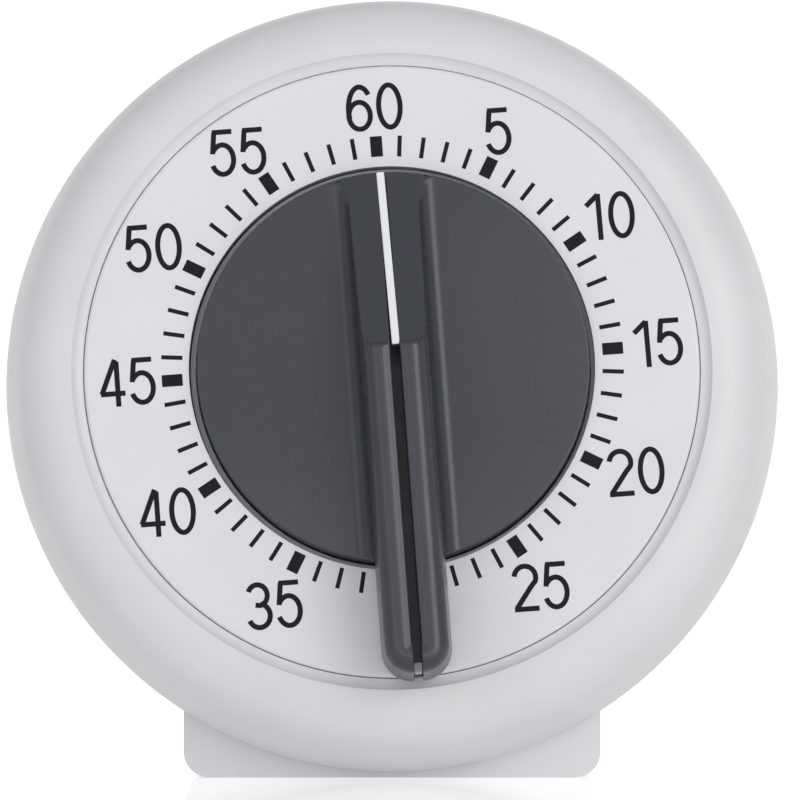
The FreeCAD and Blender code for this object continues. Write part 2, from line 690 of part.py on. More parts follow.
def involute_gear(teeth, module, shift, thickness, bore, play):
    """A spur gear of 20 degree involute teeth. A tooth is centred on local +X."""
    pressure = math.radians(20)
    pitch = module * teeth / 2
    base = pitch * math.cos(pressure)
    tip = pitch + module * (1 + shift)
    root = pitch - module * (1.25 - shift)
    half = math.pi / 2 / teeth + 2 * shift * math.tan(pressure) / teeth - play / 2 / pitch
    half += math.tan(pressure) - pressure

    def flank(radius, side, centre):
        turn = math.acos(min(base / radius, 1))
        angle = centre + side * (half - math.tan(turn) + turn)
        return Vector(radius * math.cos(angle), radius * math.sin(angle), 0)

    start = max(root, base)
    edges = []
    for tooth in range(teeth):
        centre = 2 * math.pi * tooth / teeth
        following = centre + 2 * math.pi / teeth
        rise = [flank(radius, -1, centre) for radius in (start, (start + tip) / 2, tip)]
        fall = [flank(radius, 1, centre) for radius in (tip, (start + tip) / 2, start)]
        top = Vector(tip * math.cos(centre), tip * math.sin(centre), 0)
        edges.append(Part.Arc(*rise).toShape())
        edges.append(Part.Arc(rise[-1], top, fall[0]).toShape())
        edges.append(Part.Arc(*fall).toShape())
        leave = fall[-1]
        arrive = flank(start, -1, following)
        if root < base:
            edges.append(Part.LineSegment(leave, leave * (root / base)).toShape())
            leave = leave * (root / base)
        low = Vector(arrive).normalize() * root
        middle = centre + math.pi / teeth
        valley = Vector(root * math.cos(middle), root * math.sin(middle), 0)
        edges.append(Part.Arc(leave, valley, low).toShape())
        if root < base:
            edges.append(Part.LineSegment(low, arrive).toShape())
    blank = Part.Face(Part.Wire(edges)).extrude(Vector(0, 0, -thickness))
    return blank.cut(Part.makeCylinder(bore, 3 * thickness, Vector(0, 0, -2 * thickness)))


def lightened(wheel, rim, hub, spokes, thickness):
    """The wheel with round lightening holes between its rim and its hub."""
    middle = (rim + hub) / 2
    radius = (rim - hub) / 2 - size("spoke_gap")
    holes = []
    for number in range(spokes):
        angle = 2 * math.pi * (number + 0.5) / spokes
        centre = Vector(middle * math.cos(angle), middle * math.sin(angle), -2 * thickness)
        holes.append(Part.makeCylinder(radius, 4 * thickness, centre))
    return wheel.cut(holes)


def escape_wheel_shape(teeth, tip, root, thickness, bore):
    """A pin-pallet escape wheel: pointed teeth that lean forwards."""
    points = []
    for tooth in range(teeth):
        angle = 2 * math.pi * tooth / teeth
        step = 2 * math.pi / teeth
        for radius, share in ((root, 0.0), (tip, 0.42), (tip, 0.5), (root, 0.62)):
            turn = angle + step * share
            points.append(Vector(radius * math.cos(turn), radius * math.sin(turn), 0))
    points.append(points[0])
    blank = Part.Face(Part.makePolygon(points)).extrude(Vector(0, 0, -thickness))
    return blank.cut(Part.makeCylinder(bore, 3 * thickness, Vector(0, 0, -2 * thickness)))


def spiral_spring(inner, pitch, turns, leaf, width):
    """A coiled leaf spring: half circles about two centres a quarter pitch either side of the axis."""
    outward = []
    inward = []
    for half in range(int(2 * turns)):
        side = 1 if half % 2 == 0 else -1
        centre = Vector(-side * pitch / 4, 0, 0)
        radius = inner + pitch / 4 + half * pitch / 2
        for offset, edges in ((leaf / 2, outward), (-leaf / 2, inward)):
            reach = radius + offset
            start = centre + Vector(side * reach, 0, 0)
            middle = centre + Vector(0, side * reach, 0)
            stop = centre - Vector(side * reach, 0, 0)
            edges.append((start, middle, stop))
    edges = [Part.Arc(*points).toShape() for points in outward + inward]
    edges.append(Part.LineSegment(outward[0][0], inward[0][0]).toShape())
    edges.append(Part.LineSegment(outward[-1][2], inward[-1][2]).toShape())
    wire = Part.Wire(Part.__sortEdges__(edges))
    return Part.Face(wire).extrude(Vector(0, 0, -width))


def link_bar(points, half_width, thickness):
    """A flat bar with rounded corners along a run of points, on the XY plane and going down."""
    pieces = []
    for start, stop in zip(points, points[1:]):
        along = stop - start
        side = Vector(-along.y, along.x, 0).normalize() * half_width
        corners = [start + side, stop + side, stop - side, start - side, start + side]
        pieces.append(Part.Face(Part.makePolygon(corners)).extrude(Vector(0, 0, -thickness)))
    for point in points:
        pieces.append(Part.makeCylinder(half_width, thickness, point - Vector(0, 0, thickness)))
    return pieces[0].multiFuse(pieces[1:]).removeSplitter()


def disc_below(radius, thickness):
    """A disc with its front on the XY plane."""
    return Part.makeCylinder(radius, thickness, Vector(0, 0, -thickness))


def drill(shape, radius, centre):
    return shape.cut(Part.makeCylinder(radius, 40, Vector(centre.x, centre.y, -20)))


def polar(origin, reach, angle):
    return origin + Vector(reach * math.cos(math.radians(angle)), reach * math.sin(math.radians(angle)), 0)


# ---------------------------------------------------------------- the whole timer


def movement_places():
    """Where the train's arbors stand: each chord of their circle is the centre distance of two of them."""
    ring = size("train_ring")
    chords = (
        "second_module * (wheel_teeth + pinion_leaves) / 2",
        "third_module * (wheel_teeth + pinion_leaves) / 2",
        "verge_distance",
    )
    angle = size("second_angle")
    places = [Vector(*around(ring, angle), 0)]
    for chord in chords:
        angle += 2 * math.degrees(math.asin(size(chord) / 2 / ring))
        places.append(Vector(*around(ring, angle), 0))
    return places


def heading(start, stop):
    return math.degrees(math.atan2(stop.y - start.y, stop.x - start.x))


def train_arbor(label, place, leaves=None):
    """A pivoted arbor between the plates, with a pinion's leaves fused to it where it has them."""
    front = "front_plate_depth + plate_thickness + end_play"
    back = "back_plate_depth - end_play"
    steps = (
        ("pivot_radius", "front_plate_depth - pivot_proud", front),
        ("pin_radius", front, back),
        ("pivot_radius", back, "back_plate_depth + plate_thickness + pivot_proud"),
    )
    if not leaves:
        return pin(label, on_axis(place.x, place.y), steps)
    shaft = pin(label + "_shaft", on_axis(place.x, place.y), steps)
    return combined("Part::MultiFuse", label, [shaft, leaves])


def gears(module, thickness, bore, teeth="wheel_teeth", side=-1):
    """The toothed blank of a wheel, or with side 1 of a pinion."""
    shift = side * size("profile_shift")
    return involute_gear(int(size(teeth)), size(module), shift, thickness, bore, size("tooth_play"))


def going_train(places):
    """The four arbors behind the knob's own: wheels on the slower one drive the leaves on the next."""
    centre = Vector(0, 0, 0)
    second, third, escape, _ = places
    gap_turn = 180 + 180 / size("pinion_leaves")
    brass, thin = size("brass_wheel"), size("thin_wheel")
    overhang = size("leaf_overhang")
    pin_radius = size("pin_radius")
    stages = (
        ("first_module", "centre_depth", brass, centre, second),
        ("second_module", "second_depth", brass, second, third),
        ("third_module", "third_depth", thin, third, escape),
    )
    names = (
        ("centre_wheel", "second_pinion"),
        ("second_wheel", "third_pinion"),
        ("third_wheel", "escape_pinion"),
    )
    pieces = {}
    for (module, depth, thickness, here, there), (wheel_name, pinion_name) in zip(stages, names):
        turn = heading(here, there)
        bore = size("arbor_radius") if here == centre else pin_radius
        wheel = gears(module, thickness, bore)
        root = size(f"{module} * (wheel_teeth / 2 - 1.25 - profile_shift)")
        wheel = lightened(wheel, root - 1, bore + 1.4, int(size("wheel_spokes")), thickness)
        pieces[wheel_name] = shaped(wheel_name, wheel, on_axis(here.x, here.y, -size(depth), turn))
        leaves = gears(module, thickness + 2 * overhang, pin_radius - 0.2, "pinion_leaves", 1)
        leaf_place = on_axis(there.x, there.y, overhang - size(depth), turn + gap_turn)
        leaves = shaped(pinion_name + "_leaves", leaves, leaf_place)
        pieces[pinion_name] = train_arbor(pinion_name, there, leaves)
    blank = escape_wheel_shape(
        int(size("escape_teeth")), size("escape_radius"), size("escape_root"), thin, pin_radius
    )
    pieces["escape_wheel"] = shaped(
        "escape_wheel",
        lightened(blank, size("escape_root"), pin_radius + 0.8, 4, thin),
        on_axis(escape.x, escape.y, -size("escape_depth")),
    )
    return pieces


def verge(places):
    """The runaway escapement: an arbor with the pallet anchor, its two pins and the inertia bar."""
    _, _, escape, arbor = places
    outward = heading(escape, arbor)
    reach = size("pallet_reach")
    pins = [polar(escape, reach, outward + side * size("pallet_spread")) - arbor for side in (-1, 1)]
    hub = Vector(0, 0, 0)
    half, collar = size("arm_half"), size("collar_radius")
    thick = size("anchor_thickness")
    plate_shape = link_bar([pins[0], hub, pins[1]], half, thick)
    plate_shape = plate_shape.fuse(disc_below(collar, thick))
    rod = size("pallet_radius")
    for centre, radius in ((hub, size("pin_radius")), (pins[0], rod), (pins[1], rod)):
        plate_shape = drill(plate_shape, radius, centre)
    rods = [Part.makeCylinder(rod, size("pallet_length"), point - Vector(0, 0, thick)) for point in pins]
    ends = [polar(hub, size("bar_reach"), outward + side * 90) for side in (-1, 1)]
    bar = link_bar(ends, half, size("bar_thickness"))
    sink = Vector(0, 0, size("(bar_thickness + weight_length) / 2"))
    weights = [Part.makeCylinder(size("weight_radius"), size("weight_length"), end - sink) for end in ends]
    weights.append(disc_below(collar, size("bar_thickness")))
    bar = drill(bar.multiFuse(weights), size("pin_radius"), hub)
    anchor = on_axis(arbor.x, arbor.y, -size("anchor_depth"))
    return {
        "verge_arbor": train_arbor("verge_arbor", arbor),
        "pallet_anchor": shaped("pallet_anchor", plate_shape, anchor),
        "pallet_pins": shaped("pallet_pins", Part.makeCompound(rods), anchor),
        "inertia_bar": shaped("inertia_bar", bar, on_axis(arbor.x, arbor.y, -size("bar_depth"))),
    }


def striker():
    """The striker: its arbor, the lever that the trip cam holds off, the arm and the head on the bell."""
    x, y = size("hammer_across"), -size("hammer_drop")
    arbor = Vector(x, y, 0)
    bell_centre = Vector(-size("bell_across"), size("bell_rise"), 0)
    nose = [Vector(0, 0, 0), Vector(10, -10, 0) - arbor, Vector(0, -8.2, 0) - arbor]
    swing = size("bell_radius + head_radius + hammer_rest")
    head = polar(bell_centre, swing, size("hammer_angle")) - arbor
    front = "front_plate_depth + plate_thickness + end_play"
    back = "back_plate_depth - end_play"
    steps = (
        ("pivot_radius", "front_plate_depth - pivot_proud", front),
        ("pin_radius", front, back),
        ("hammer_pivot", back, "hammer_depth + hammer_thickness + 0.4"),
    )
    thick, collar = size("brass_wheel"), size("collar_radius")
    lever = link_bar(nose, size("lever_half"), thick).fuse(disc_below(collar, thick))
    lever = drill(lever, size("pin_radius"), nose[0])
    thick, rivet = size("hammer_thickness"), size("rivet_radius")
    arm = link_bar([nose[0], head], size("arm_half"), thick).fuse(disc_below(collar, thick))
    arm = drill(drill(arm, size("hammer_pivot"), nose[0]), rivet, head)
    length = size("head_length")
    striking = Part.makeCylinder(size("head_radius"), length, head - Vector(0, 0, thick + length))
    striking = striking.fuse(Part.makeCylinder(rivet, thick + 0.4, head - Vector(0, 0, thick + 0.1)))
    return {
        "hammer_arbor": pin("hammer_arbor", on_axis(x, y), steps),
        "trip_lever": shaped("trip_lever", lever, on_axis(x, y, -size("cam_depth"))),
        "hammer_arm": shaped("hammer_arm", arm, on_axis(x, y, -size("hammer_depth"))),
        "hammer_head": shaped("hammer_head", striking, on_axis(x, y, -size("hammer_depth"))),
    }


def knob_shaft():
    """What turns with the knob inside: the main arbor, the trip cam and the clutch's spring washer."""
    back = "back_plate_depth - end_play"
    arbor = pin(
        "main_arbor",
        on_axis(),
        (
            ("knob_bore", "knob_plate - knob_front", "hub_depth"),
            ("arbor_radius", "hub_depth", back),
            ("arbor_radius / 2", back, "back_plate_depth + plate_thickness + 0.3"),
        ),
    )
    thickness = size("brass_wheel")
    radius, notch, depth = size("cam_radius"), size("cam_notch"), size("notch_depth")
    corner = Vector(-notch / 2, -2 * radius + depth, -2 * thickness)
    cam = disc_below(radius, thickness).cut(Part.makeBox(notch, radius, 4 * thickness, corner))
    cam = drill(cam, size("arbor_radius"), Vector(0, 0, 0))
    washer = turned(
        "clutch_washer",
        (
            ("arbor_radius", "-cam_depth - brass_wheel"),
            ("arbor_radius + washer_reach", "-centre_depth + washer_leaf"),
            ("arbor_radius + washer_reach", "-centre_depth"),
            ("arbor_radius", "-cam_depth - brass_wheel - washer_leaf"),
        ),
    )
    return {
        "main_arbor": arbor,
        "trip_cam": shaped("trip_cam", cam, on_axis(0, 0, -size("cam_depth"))),
        "clutch_washer": washer,
    }


def frame_plates(places):
    """The movement's plates, with a hole for each pivot, pillar and screw."""
    pivots = [(str(place.x), str(place.y)) for place in places]
    hammer = [("hammer_across", "-hammer_drop")]
    pillars = ring_of("pillar_ring", PILLAR_ANGLES)
    front = {
        "arbor_radius + running_gap": [("0", "0")],
        "pivot_radius + running_gap": pivots + hammer,
        "pilot_radius + running_gap": pillars,
        "pilot_radius + 0.2": ring_of("movement_boss_ring", MOVEMENT_SCREW_ANGLES),
    }
    back = {
        "arbor_radius / 2 + running_gap": [("0", "0")],
        "pivot_radius + running_gap": pivots,
        "hammer_pivot + running_gap": hammer,
        "pilot_radius + running_gap": pillars,
    }
    return {
        "front_plate": plate("front_plate", "front_plate_depth", front),
        "back_plate": plate("back_plate", "back_plate_depth", back),
    }


def fasteners():
    """Identical screws, pillars and nuts: three of each, and each three a group of separate solids."""
    case_steps = (
        ("pilot_radius", "5.5", "head_recess"),
        ("recess_radius - 0.3", "head_recess", "head_recess + 1.6"),
    )
    movement_steps = (
        ("pilot_radius", "4.4", "front_plate_depth + plate_thickness"),
        ("2", "front_plate_depth + plate_thickness", "front_plate_depth + plate_thickness + head_height"),
    )
    pillar_steps = (
        ("pilot_radius", "front_plate_depth", "front_plate_depth + plate_thickness"),
        ("pillar_radius", "front_plate_depth + plate_thickness", "back_plate_depth"),
        ("pilot_radius", "back_plate_depth", "back_plate_depth + plate_thickness + 1.6"),
    )
    kinds = (
        ("case_screws", on_face, "case_boss_ring", CASE_SCREW_ANGLES, case_steps),
        ("movement_screws", on_axis, "movement_boss_ring", MOVEMENT_SCREW_ANGLES, movement_steps),
        ("plate_pillars", on_axis, "pillar_ring", PILLAR_ANGLES, pillar_steps),
    )
    pieces = {}
    for label, frame, ring, angles, steps in kinds:
        places = [frame(*around(size(ring), angle)) for angle in angles]
        copies = [pin(f"{label}_{number}", place, steps) for number, place in enumerate(places, start=1)]
        pieces[label] = combined("Part::Compound", label, copies)
    nuts = []
    for number, angle in enumerate(PILLAR_ANGLES, start=1):
        x, y = around(size("pillar_ring"), angle)
        place = on_axis(x, y, -size("back_plate_depth + plate_thickness + nut_height"))
        blank = primitive(
            "Part::Prism", f"nut_blank_{number}", place, Circumradius="nut_radius", Height="nut_height"
        )
        blank.Polygon = 6
        bore = primitive(
            "Part::Cylinder", f"nut_bore_{number}", place, Radius="pilot_radius", Height="nut_height"
        )
        nuts.append(cut(f"nut_{number}", blank, bore))
    pieces["pillar_nuts"] = combined("Part::Compound", "pillar_nuts", nuts)
    return pieces


def mainspring():
    """The mainspring, wound about half way, and the post on the front plate that holds its outer end."""
    inner, pitch, turns = size("spring_inner"), size("spring_pitch"), size("spring_turns")
    leaf, width, depth = size("spring_leaf"), size("spring_width"), size("spring_depth")
    coil = spiral_spring(inner, pitch, turns, leaf, width)
    outer = inner + turns * pitch + leaf / 2
    post_angle = 40
    x, y = around(outer + 1, post_angle)
    post_steps = (("1", "front_plate_depth + plate_thickness", "spring_depth + spring_width + 0.4"),)
    return {
        "mainspring": shaped("mainspring", coil, on_axis(0, 0, -depth, post_angle)),
        "spring_post": pin("spring_post", on_axis(x, y), post_steps),
    }


def bell():
    """The bell, the post that carries it off the back plate, and its screw."""
    x, y = -size("bell_across"), size("bell_rise")
    crown = "-bell_rim - bell_height"
    inside = crown + " + bell_wall"
    shell = turned(
        "bell",
        (
            ("bell_radius", "-bell_rim"),
            ("bell_radius - bell_rounding", crown),
            ("bell_bore", crown),
            ("bell_bore", inside),
            ("bell_radius - bell_rounding", inside),
            ("bell_radius - bell_wall", "-bell_rim"),
        ),
        {0: "-bell_rounding", 4: "bell_rounding - bell_wall"},
        on_axis(x, y),
    )
    post = turned(
        "bell_post",
        (
            ("0", "-back_plate_depth - plate_thickness"),
            ("post_radius", "-back_plate_depth - plate_thickness"),
            ("post_radius", inside),
            ("bell_bore", inside),
            ("bell_bore", crown + " + screw_grip + 1"),
            ("0", crown + " + screw_grip + 1"),
        ),
        None,
        on_axis(x, y),
    )
    screw = pin(
        "bell_screw",
        on_axis(x, y),
        (
            ("bell_bore - running_gap", "bell_rim + bell_height - screw_grip", "bell_rim + bell_height"),
            ("2 * bell_bore - 0.1", "bell_rim + bell_height", "bell_rim + bell_height + head_height"),
        ),
    )
    return {"bell": shell, "bell_post": post, "bell_screw": screw}


def build():
    """Every piece of the timer, by the name of its file."""
    places = movement_places()
    pieces = {
        "front_bezel": front_bezel(),
        "dial_plate": dial_plate(),
        "rear_case": rear_case(),
        "knob": knob(),
        "pointer_strip": pointer_strip(),
    }
    for more in (
        fasteners(),
        frame_plates(places),
        mainspring(),
        knob_shaft(),
        going_train(places),
        verge(places),
        striker(),
        bell(),
    ):
        pieces.update(more)
    doc.recompute()
    return pieces


def check(pieces):
    """Stop if any object failed, or any piece has no valid shape."""
    for thing in doc.Objects:
        if "Invalid" in thing.State or "Error" in thing.State:
            raise ValueError(f"{thing.Label} failed: {thing.State}")
    for label, piece in pieces.items():
        shape = piece.Shape
        if piece.Label != label or shape.isNull() or not shape.isValid() or not shape.Solids:
            raise ValueError(f"{label} has no valid solid")


if __name__ == "__main__":
    timer = build()
    check(timer)
    os.makedirs("parts", exist_ok=True)
    for label, piece in timer.items():
        piece.Shape.exportStep(f"parts/{label}.step")
        print(f"{label}: {len(piece.Shape.Solids)} solid, {piece.Shape.Volume:.1f} mm3")
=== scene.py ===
"""Mechanical 60-minute kitchen timer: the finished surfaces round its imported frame.

Everything is in metres, and MM turns a maker's millimetres into them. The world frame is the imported
model's. The face frame has its origin where the knob's axis meets the dial's front, with X to the right,
Y up the dial and Z out of it.
"""

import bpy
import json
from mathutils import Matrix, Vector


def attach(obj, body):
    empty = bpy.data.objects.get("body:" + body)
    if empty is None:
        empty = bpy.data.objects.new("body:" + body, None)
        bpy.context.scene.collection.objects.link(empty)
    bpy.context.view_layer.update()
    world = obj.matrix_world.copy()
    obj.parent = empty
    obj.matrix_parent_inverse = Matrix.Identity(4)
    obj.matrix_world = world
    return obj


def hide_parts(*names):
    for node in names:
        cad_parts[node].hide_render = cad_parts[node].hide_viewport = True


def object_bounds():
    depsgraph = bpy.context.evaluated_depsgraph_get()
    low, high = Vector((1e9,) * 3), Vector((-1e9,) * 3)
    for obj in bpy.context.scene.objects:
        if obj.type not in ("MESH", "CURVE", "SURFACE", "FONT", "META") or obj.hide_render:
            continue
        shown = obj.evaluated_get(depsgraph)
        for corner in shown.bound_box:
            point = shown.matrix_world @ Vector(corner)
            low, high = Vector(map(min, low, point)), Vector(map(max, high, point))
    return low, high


bl_info = {
    "name": "Kitchen Timer",
    "version": (1, 0, 0),
    "blender": (4, 5, 0),
    "location": "View3D > Sidebar > Timer",
    "description": "Builds the visible pieces, finishes and photo table of a mechanical kitchen timer",
    "category": "Add Mesh",
}

import json
import math

import bmesh
import bpy
from bpy.props import FloatProperty, PointerProperty, StringProperty
from mathutils import Matrix, Vector

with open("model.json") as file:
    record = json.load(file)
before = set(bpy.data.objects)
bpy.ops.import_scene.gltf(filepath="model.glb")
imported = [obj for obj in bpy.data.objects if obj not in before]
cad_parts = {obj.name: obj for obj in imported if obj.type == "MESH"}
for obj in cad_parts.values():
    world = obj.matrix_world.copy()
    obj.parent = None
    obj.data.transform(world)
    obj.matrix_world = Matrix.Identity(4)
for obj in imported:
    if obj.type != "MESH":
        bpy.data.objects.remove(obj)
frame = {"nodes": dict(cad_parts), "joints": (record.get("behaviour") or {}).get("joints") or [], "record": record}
CAD_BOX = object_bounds()
MM = 0.001
KNOB_JOINT = next(joint for joint in frame["joints"] if joint["name"] == "knob_turn")
TIMER_MIDDLE = (CAD_BOX[0] + CAD_BOX[1]) / 2
ON_KNOB = "knob_and_arbor"
WELD = 0.0005 * MM  # corners closer than this are joined


# ---------------------------------------------------------------- what a user would change


def length(name, millimetres, description):
    """A length property whose default is given in millimetres."""
    return FloatProperty(
        name=name, description=description, default=millimetres * MM, min=0.0, unit="LENGTH", precision=5
    )


def angle(name, degrees, description):
    return FloatProperty(
        name=name, description=description, default=math.radians(degrees), subtype="ANGLE", unit="ROTATION"
    )


def tint(name, default, description):
    """A colour property, written as an sRGB hex value."""
    return StringProperty(name=name, description=description, default=default, maxlen=7)


def watts(name, power, description):
    return FloatProperty(name=name, description=description, default=power, min=0.0, unit="POWER")


class TimerDialProps(bpy.types.PropertyGroup):
    """The printed dial."""

    turn: angle("Dial turn", 4.2, "Anticlockwise turn at which the dial was glued in")
    tick_ring: length("Tick ring", 23.9, "Radius of the circle through the middles of the minute marks")
    tick_rise: length("Tick rise", 0.32, "Height of that circle's centre over the knob's axis")
    tick_left: length("Tick offset", 0.09, "Distance of that centre to the left of the knob's axis")
    minor_length: length("Minute mark length", 2.3, "Length of a minute mark")
    minor_width: length("Minute mark width", 0.46, "Width of a minute mark")
    major_length: length("Five-minute mark length", 2.25, "Length of a five-minute mark")
    major_width: length("Five-minute mark width", 1.3, "Width of a five-minute mark")
    numeral_ring: length("Numeral ring", 28.65, "Radius of the circle through the middles of the numerals")
    numeral_drop: length("Numeral drop", 0.02, "Distance of that circle's centre below the knob's axis")
    numeral_left: length("Numeral offset", 0.39, "Distance of that centre to the left of the knob's axis")
    numeral_height: length("Numeral height", 5.2, "Height of a numeral")
    stroke: length("Stroke", 0.56, "Width of the numerals' strokes")
    pitch: length("Digit pitch", 3.3, "Distance between the middles of two digits of a numeral")
    lip_inner: length("Lip inner radius", 21.42, "Inner radius of the ledge in the dial's hole")
    lip_outer: length("Lip outer radius", 22.0, "Outer radius of that ledge")
    lip_drop: length("Lip drop", 2.4, "Depth of that ledge behind the dial's front")
    lip_thickness: length("Lip thickness", 0.3, "Thickness of that ledge")


class TimerKnobProps(bpy.types.PropertyGroup):
    """The knob and its grip."""

    radius: length("Disc radius", 21.25, "Radius of the knob's disc")
    front: length("Disc height", 1.2, "Height of the disc's front over the dial")
    edge: length("Disc edge", 0.22, "Rounding of the disc's edge")
    plate: length("Disc thickness", 2.6, "Thickness of the disc")
    skirt: length("Skirt depth", 5.2, "Depth of the skirt's end behind the dial's front")
    wall: length("Skirt wall", 1.6, "Wall of the skirt")
    hub: length("Hub radius", 4.6, "Radius of the hub")
    hub_depth: length("Hub depth", 6.9, "Depth of the hub's end behind the dial's front")
    bore: length("Hub bore", 1.8, "Radius of the hub's bore")
    reach: length("Grip reach", 34.2, "Distance from the axis to the grip's tip")
    grip_right: length("Grip offset", 0.25, "Distance of the grip to the right of the axis")
    grip_inset: length("Grip inset", 0.2, "Distance from the disc's edge to the foot of the grip")
    grip_sink: length("Grip sink", 0.3, "Depth to which the grip stands in the disc")
    root_half: length("Root half width", 3.8, "Half width of the grip at its root")
    flare_half: length("Flare half width", 5.7, "Half width of the hollow rounding at the root")
    flare_height: length("Flare height", 1.9, "Height of that rounding")
    shoulder_half: length("Shoulder half width", 3.5, "Half width of the grip at its shoulder")
    shoulder_height: length("Shoulder height", 8.25, "Height of the shoulder over the dial")
    lobe: length("Lobe radius", 1.85, "Rounding of the two lobes beside the slot")
    slot_half: length("Slot half width", 0.5, "Half width of the slot along the grip")
    slot_floor: length("Slot floor", 2.2, "Height of the slot's floor over the dial")
    slot_edge: length("Slot edge", 0.28, "Rounding of the slot's edges")
    ramp_foot: length("Ramp foot", 21.4, "Distance above the axis at which the ramp would meet the disc")
    ramp_head: length("Ramp head", 2.0, "Distance above the axis at which the ramp ends")
    ramp_top: length("Ramp top", 9.0, "Height of the ramp at its head")
    ramp_corner: length("Ramp corner", 1.3, "Rounding of the two corners of the ramp's head")
    ramp_climb: length("Ramp climb", 0.9, "Length over which the crest rises from the ramp's head")
    ramp_ease: length("Ramp ease", 0.3, "Rounding of the ramp's long edges")
    strip_half: length("Pointer half width", 0.41, "Half thickness of the white pointer strip")
    strip_skew: angle("Pointer skew", 0.8, "Anticlockwise turn of the strip in its slot")


class TimerFinishProps(bpy.types.PropertyGroup):
    """The colours of the finishes."""

    case: tint("Case white", "#E3E1E4", "Colour of the moulded case")
    dial: tint("Dial white", "#E7E6EB", "Colour of the dial")
    knob: tint("Knob grey", "#383C43", "Colour of the knob")
    ink: tint("Print black", "#0A0B10", "Colour of the print")
    pointer: tint("Pointer white", "#F7F8FA", "Colour of the pointer strip")
    brass: tint("Brass", "#C8A45A", "Colour of the wheels")
    steel: tint("Steel", "#B4B3B0", "Colour of plated steel")


class TimerStageProps(bpy.types.PropertyGroup):
    """The photo table."""

    distance: FloatProperty(
        name="Camera distance", description="From lens to foot's centre", default=0.82425, unit="LENGTH"
    )
    height: length("Camera height", 41.47, "Height of the lens over the table")
    across: length("Camera offset", 0.87, "Distance of the lens to the right of the timer's middle")
    lens: FloatProperty(name="Focal length", description="In millimetres", default=332.6, unit="CAMERA")
    key: watts("Right softbox", 3.9, "Power of the softbox on the right")
    fill: watts("Left softbox", 1.1, "Power of the softbox on the left")
    front: watts("Front softbox", 0.36, "Power of the softbox over the camera")
    low: watts("Low softbox", 0.62, "Power of the softbox under the camera")
    room: FloatProperty(name="Room light", description="Light of the white room", default=0.52)
    table_glow: FloatProperty(name="Table glow", description="Light thrown on the timer", default=0.25)
    table_seen: FloatProperty(name="Table seen", description="Light seen directly", default=0.36)


# ---------------------------------------------------------------- frames, outlines and meshes


def face_frame(across=0.0, up=0.0, turn=0.0):
    """The face frame as a matrix, moved across and up the dial, then turned about its Z."""
    out = -Vector(KNOB_JOINT["axis"])
    right = Vector((1, 0, 0))
    basis = Matrix((right, out.cross(right), out)).transposed().to_4x4()
    centre = Matrix.Translation(KNOB_JOINT["pos_m"])
    return centre @ basis @ Matrix.Translation((across, up, 0)) @ Matrix.Rotation(turn, 4, "Z")


def outline(corners, arcs, pieces):
    """The points of a closed outline. arcs gives the radius of the edge that leaves a corner."""
    points = []
    for number, corner in enumerate(corners):
        start = Vector(corner)
        points.append(start)
        if number not in arcs:
            continue
        stop = Vector(corners[(number + 1) % len(corners)])
        radius = arcs[number]
        chord = stop - start
        side = Vector((-chord.y, chord.x)).normalized()
        rise = math.sqrt(max(radius**2 - (chord.length / 2) ** 2, 0))
        centre = (start + stop) / 2 + side * rise
        sweep = 2 * math.asin(min(chord.length / 2 / radius, 1))
        for step in range(1, pieces):
            points.append(centre + Matrix.Rotation(sweep * step / pieces, 2) @ (start - centre))
    return points


def ellipse(centre, radii, start, stop, pieces):
    """Points along an ellipse from one angle to another, in degrees."""
    points = []
    for step in range(pieces + 1):
        turn = math.radians(start + (stop - start) * step / pieces)
        across, up = radii[0] * math.cos(turn), radii[1] * math.sin(turn)
        points.append(Vector((centre[0] + across, centre[1] + up)))
    return points


def revolved(points, steps=240):
    """A closed outline of (radius, height) points turned about Z. Points on the axis are joined."""
    mesh = bmesh.new()
    rings = []
    turns = [2 * math.pi * step / steps for step in range(steps)]
    for radius, height in points:
        if radius < WELD:
            rings.append([mesh.verts.new((0, 0, height))] * steps)
            continue
        ring = [(radius * math.cos(turn), radius * math.sin(turn), height) for turn in turns]
        rings.append([mesh.verts.new(point) for point in ring])
    for inner, outer in zip(rings, rings[1:] + rings[:1]):
        for step in range(steps):
            after = (step + 1) % steps
            corners = []
            for vertex in (inner[step], inner[after], outer[after], outer[step]):
                if vertex not in corners:
                    corners.append(vertex)
            if len(corners) > 2:
                mesh.faces.new(corners)
    return mesh


def loft(mesh, rows):
    """Join rows of points, each of the same number, into a skin, and close its first and last row."""
    skin = [[mesh.verts.new(point) for point in row] for row in rows]
    for before, after in zip(skin, skin[1:]):
        for number in range(len(before)):
            following = (number + 1) % len(before)
            mesh.faces.new((before[number], before[following], after[following], after[number]))
    mesh.faces.new(skin[0])
    mesh.faces.new(list(reversed(skin[-1])))


def ribbon(mesh, points, width, height, closed=False):
    """A flat strip of one width along a line of points, with mitred bends and square ends."""
    sharpest = 0.3
    count = len(points)
    left = []
    right = []
    for number, point in enumerate(points):
        before = points[(number - 1) % count] if closed or number else point
        after = points[(number + 1) % count] if closed or number < count - 1 else point
        inward = (point - before).normalized() if point != before else (after - point).normalized()
        onward = (after - point).normalized() if after != point else inward
        along = (inward + onward).normalized()
        side = Vector((-along.y, along.x)) * width / 2 / max(along.dot(onward), sharpest)
        left.append(mesh.verts.new((*(point + side), height)))
        right.append(mesh.verts.new((*(point - side), height)))
    for number in range(count if closed else count - 1):
        after = (number + 1) % count
        mesh.faces.new((right[number], right[after], left[after], left[number]))


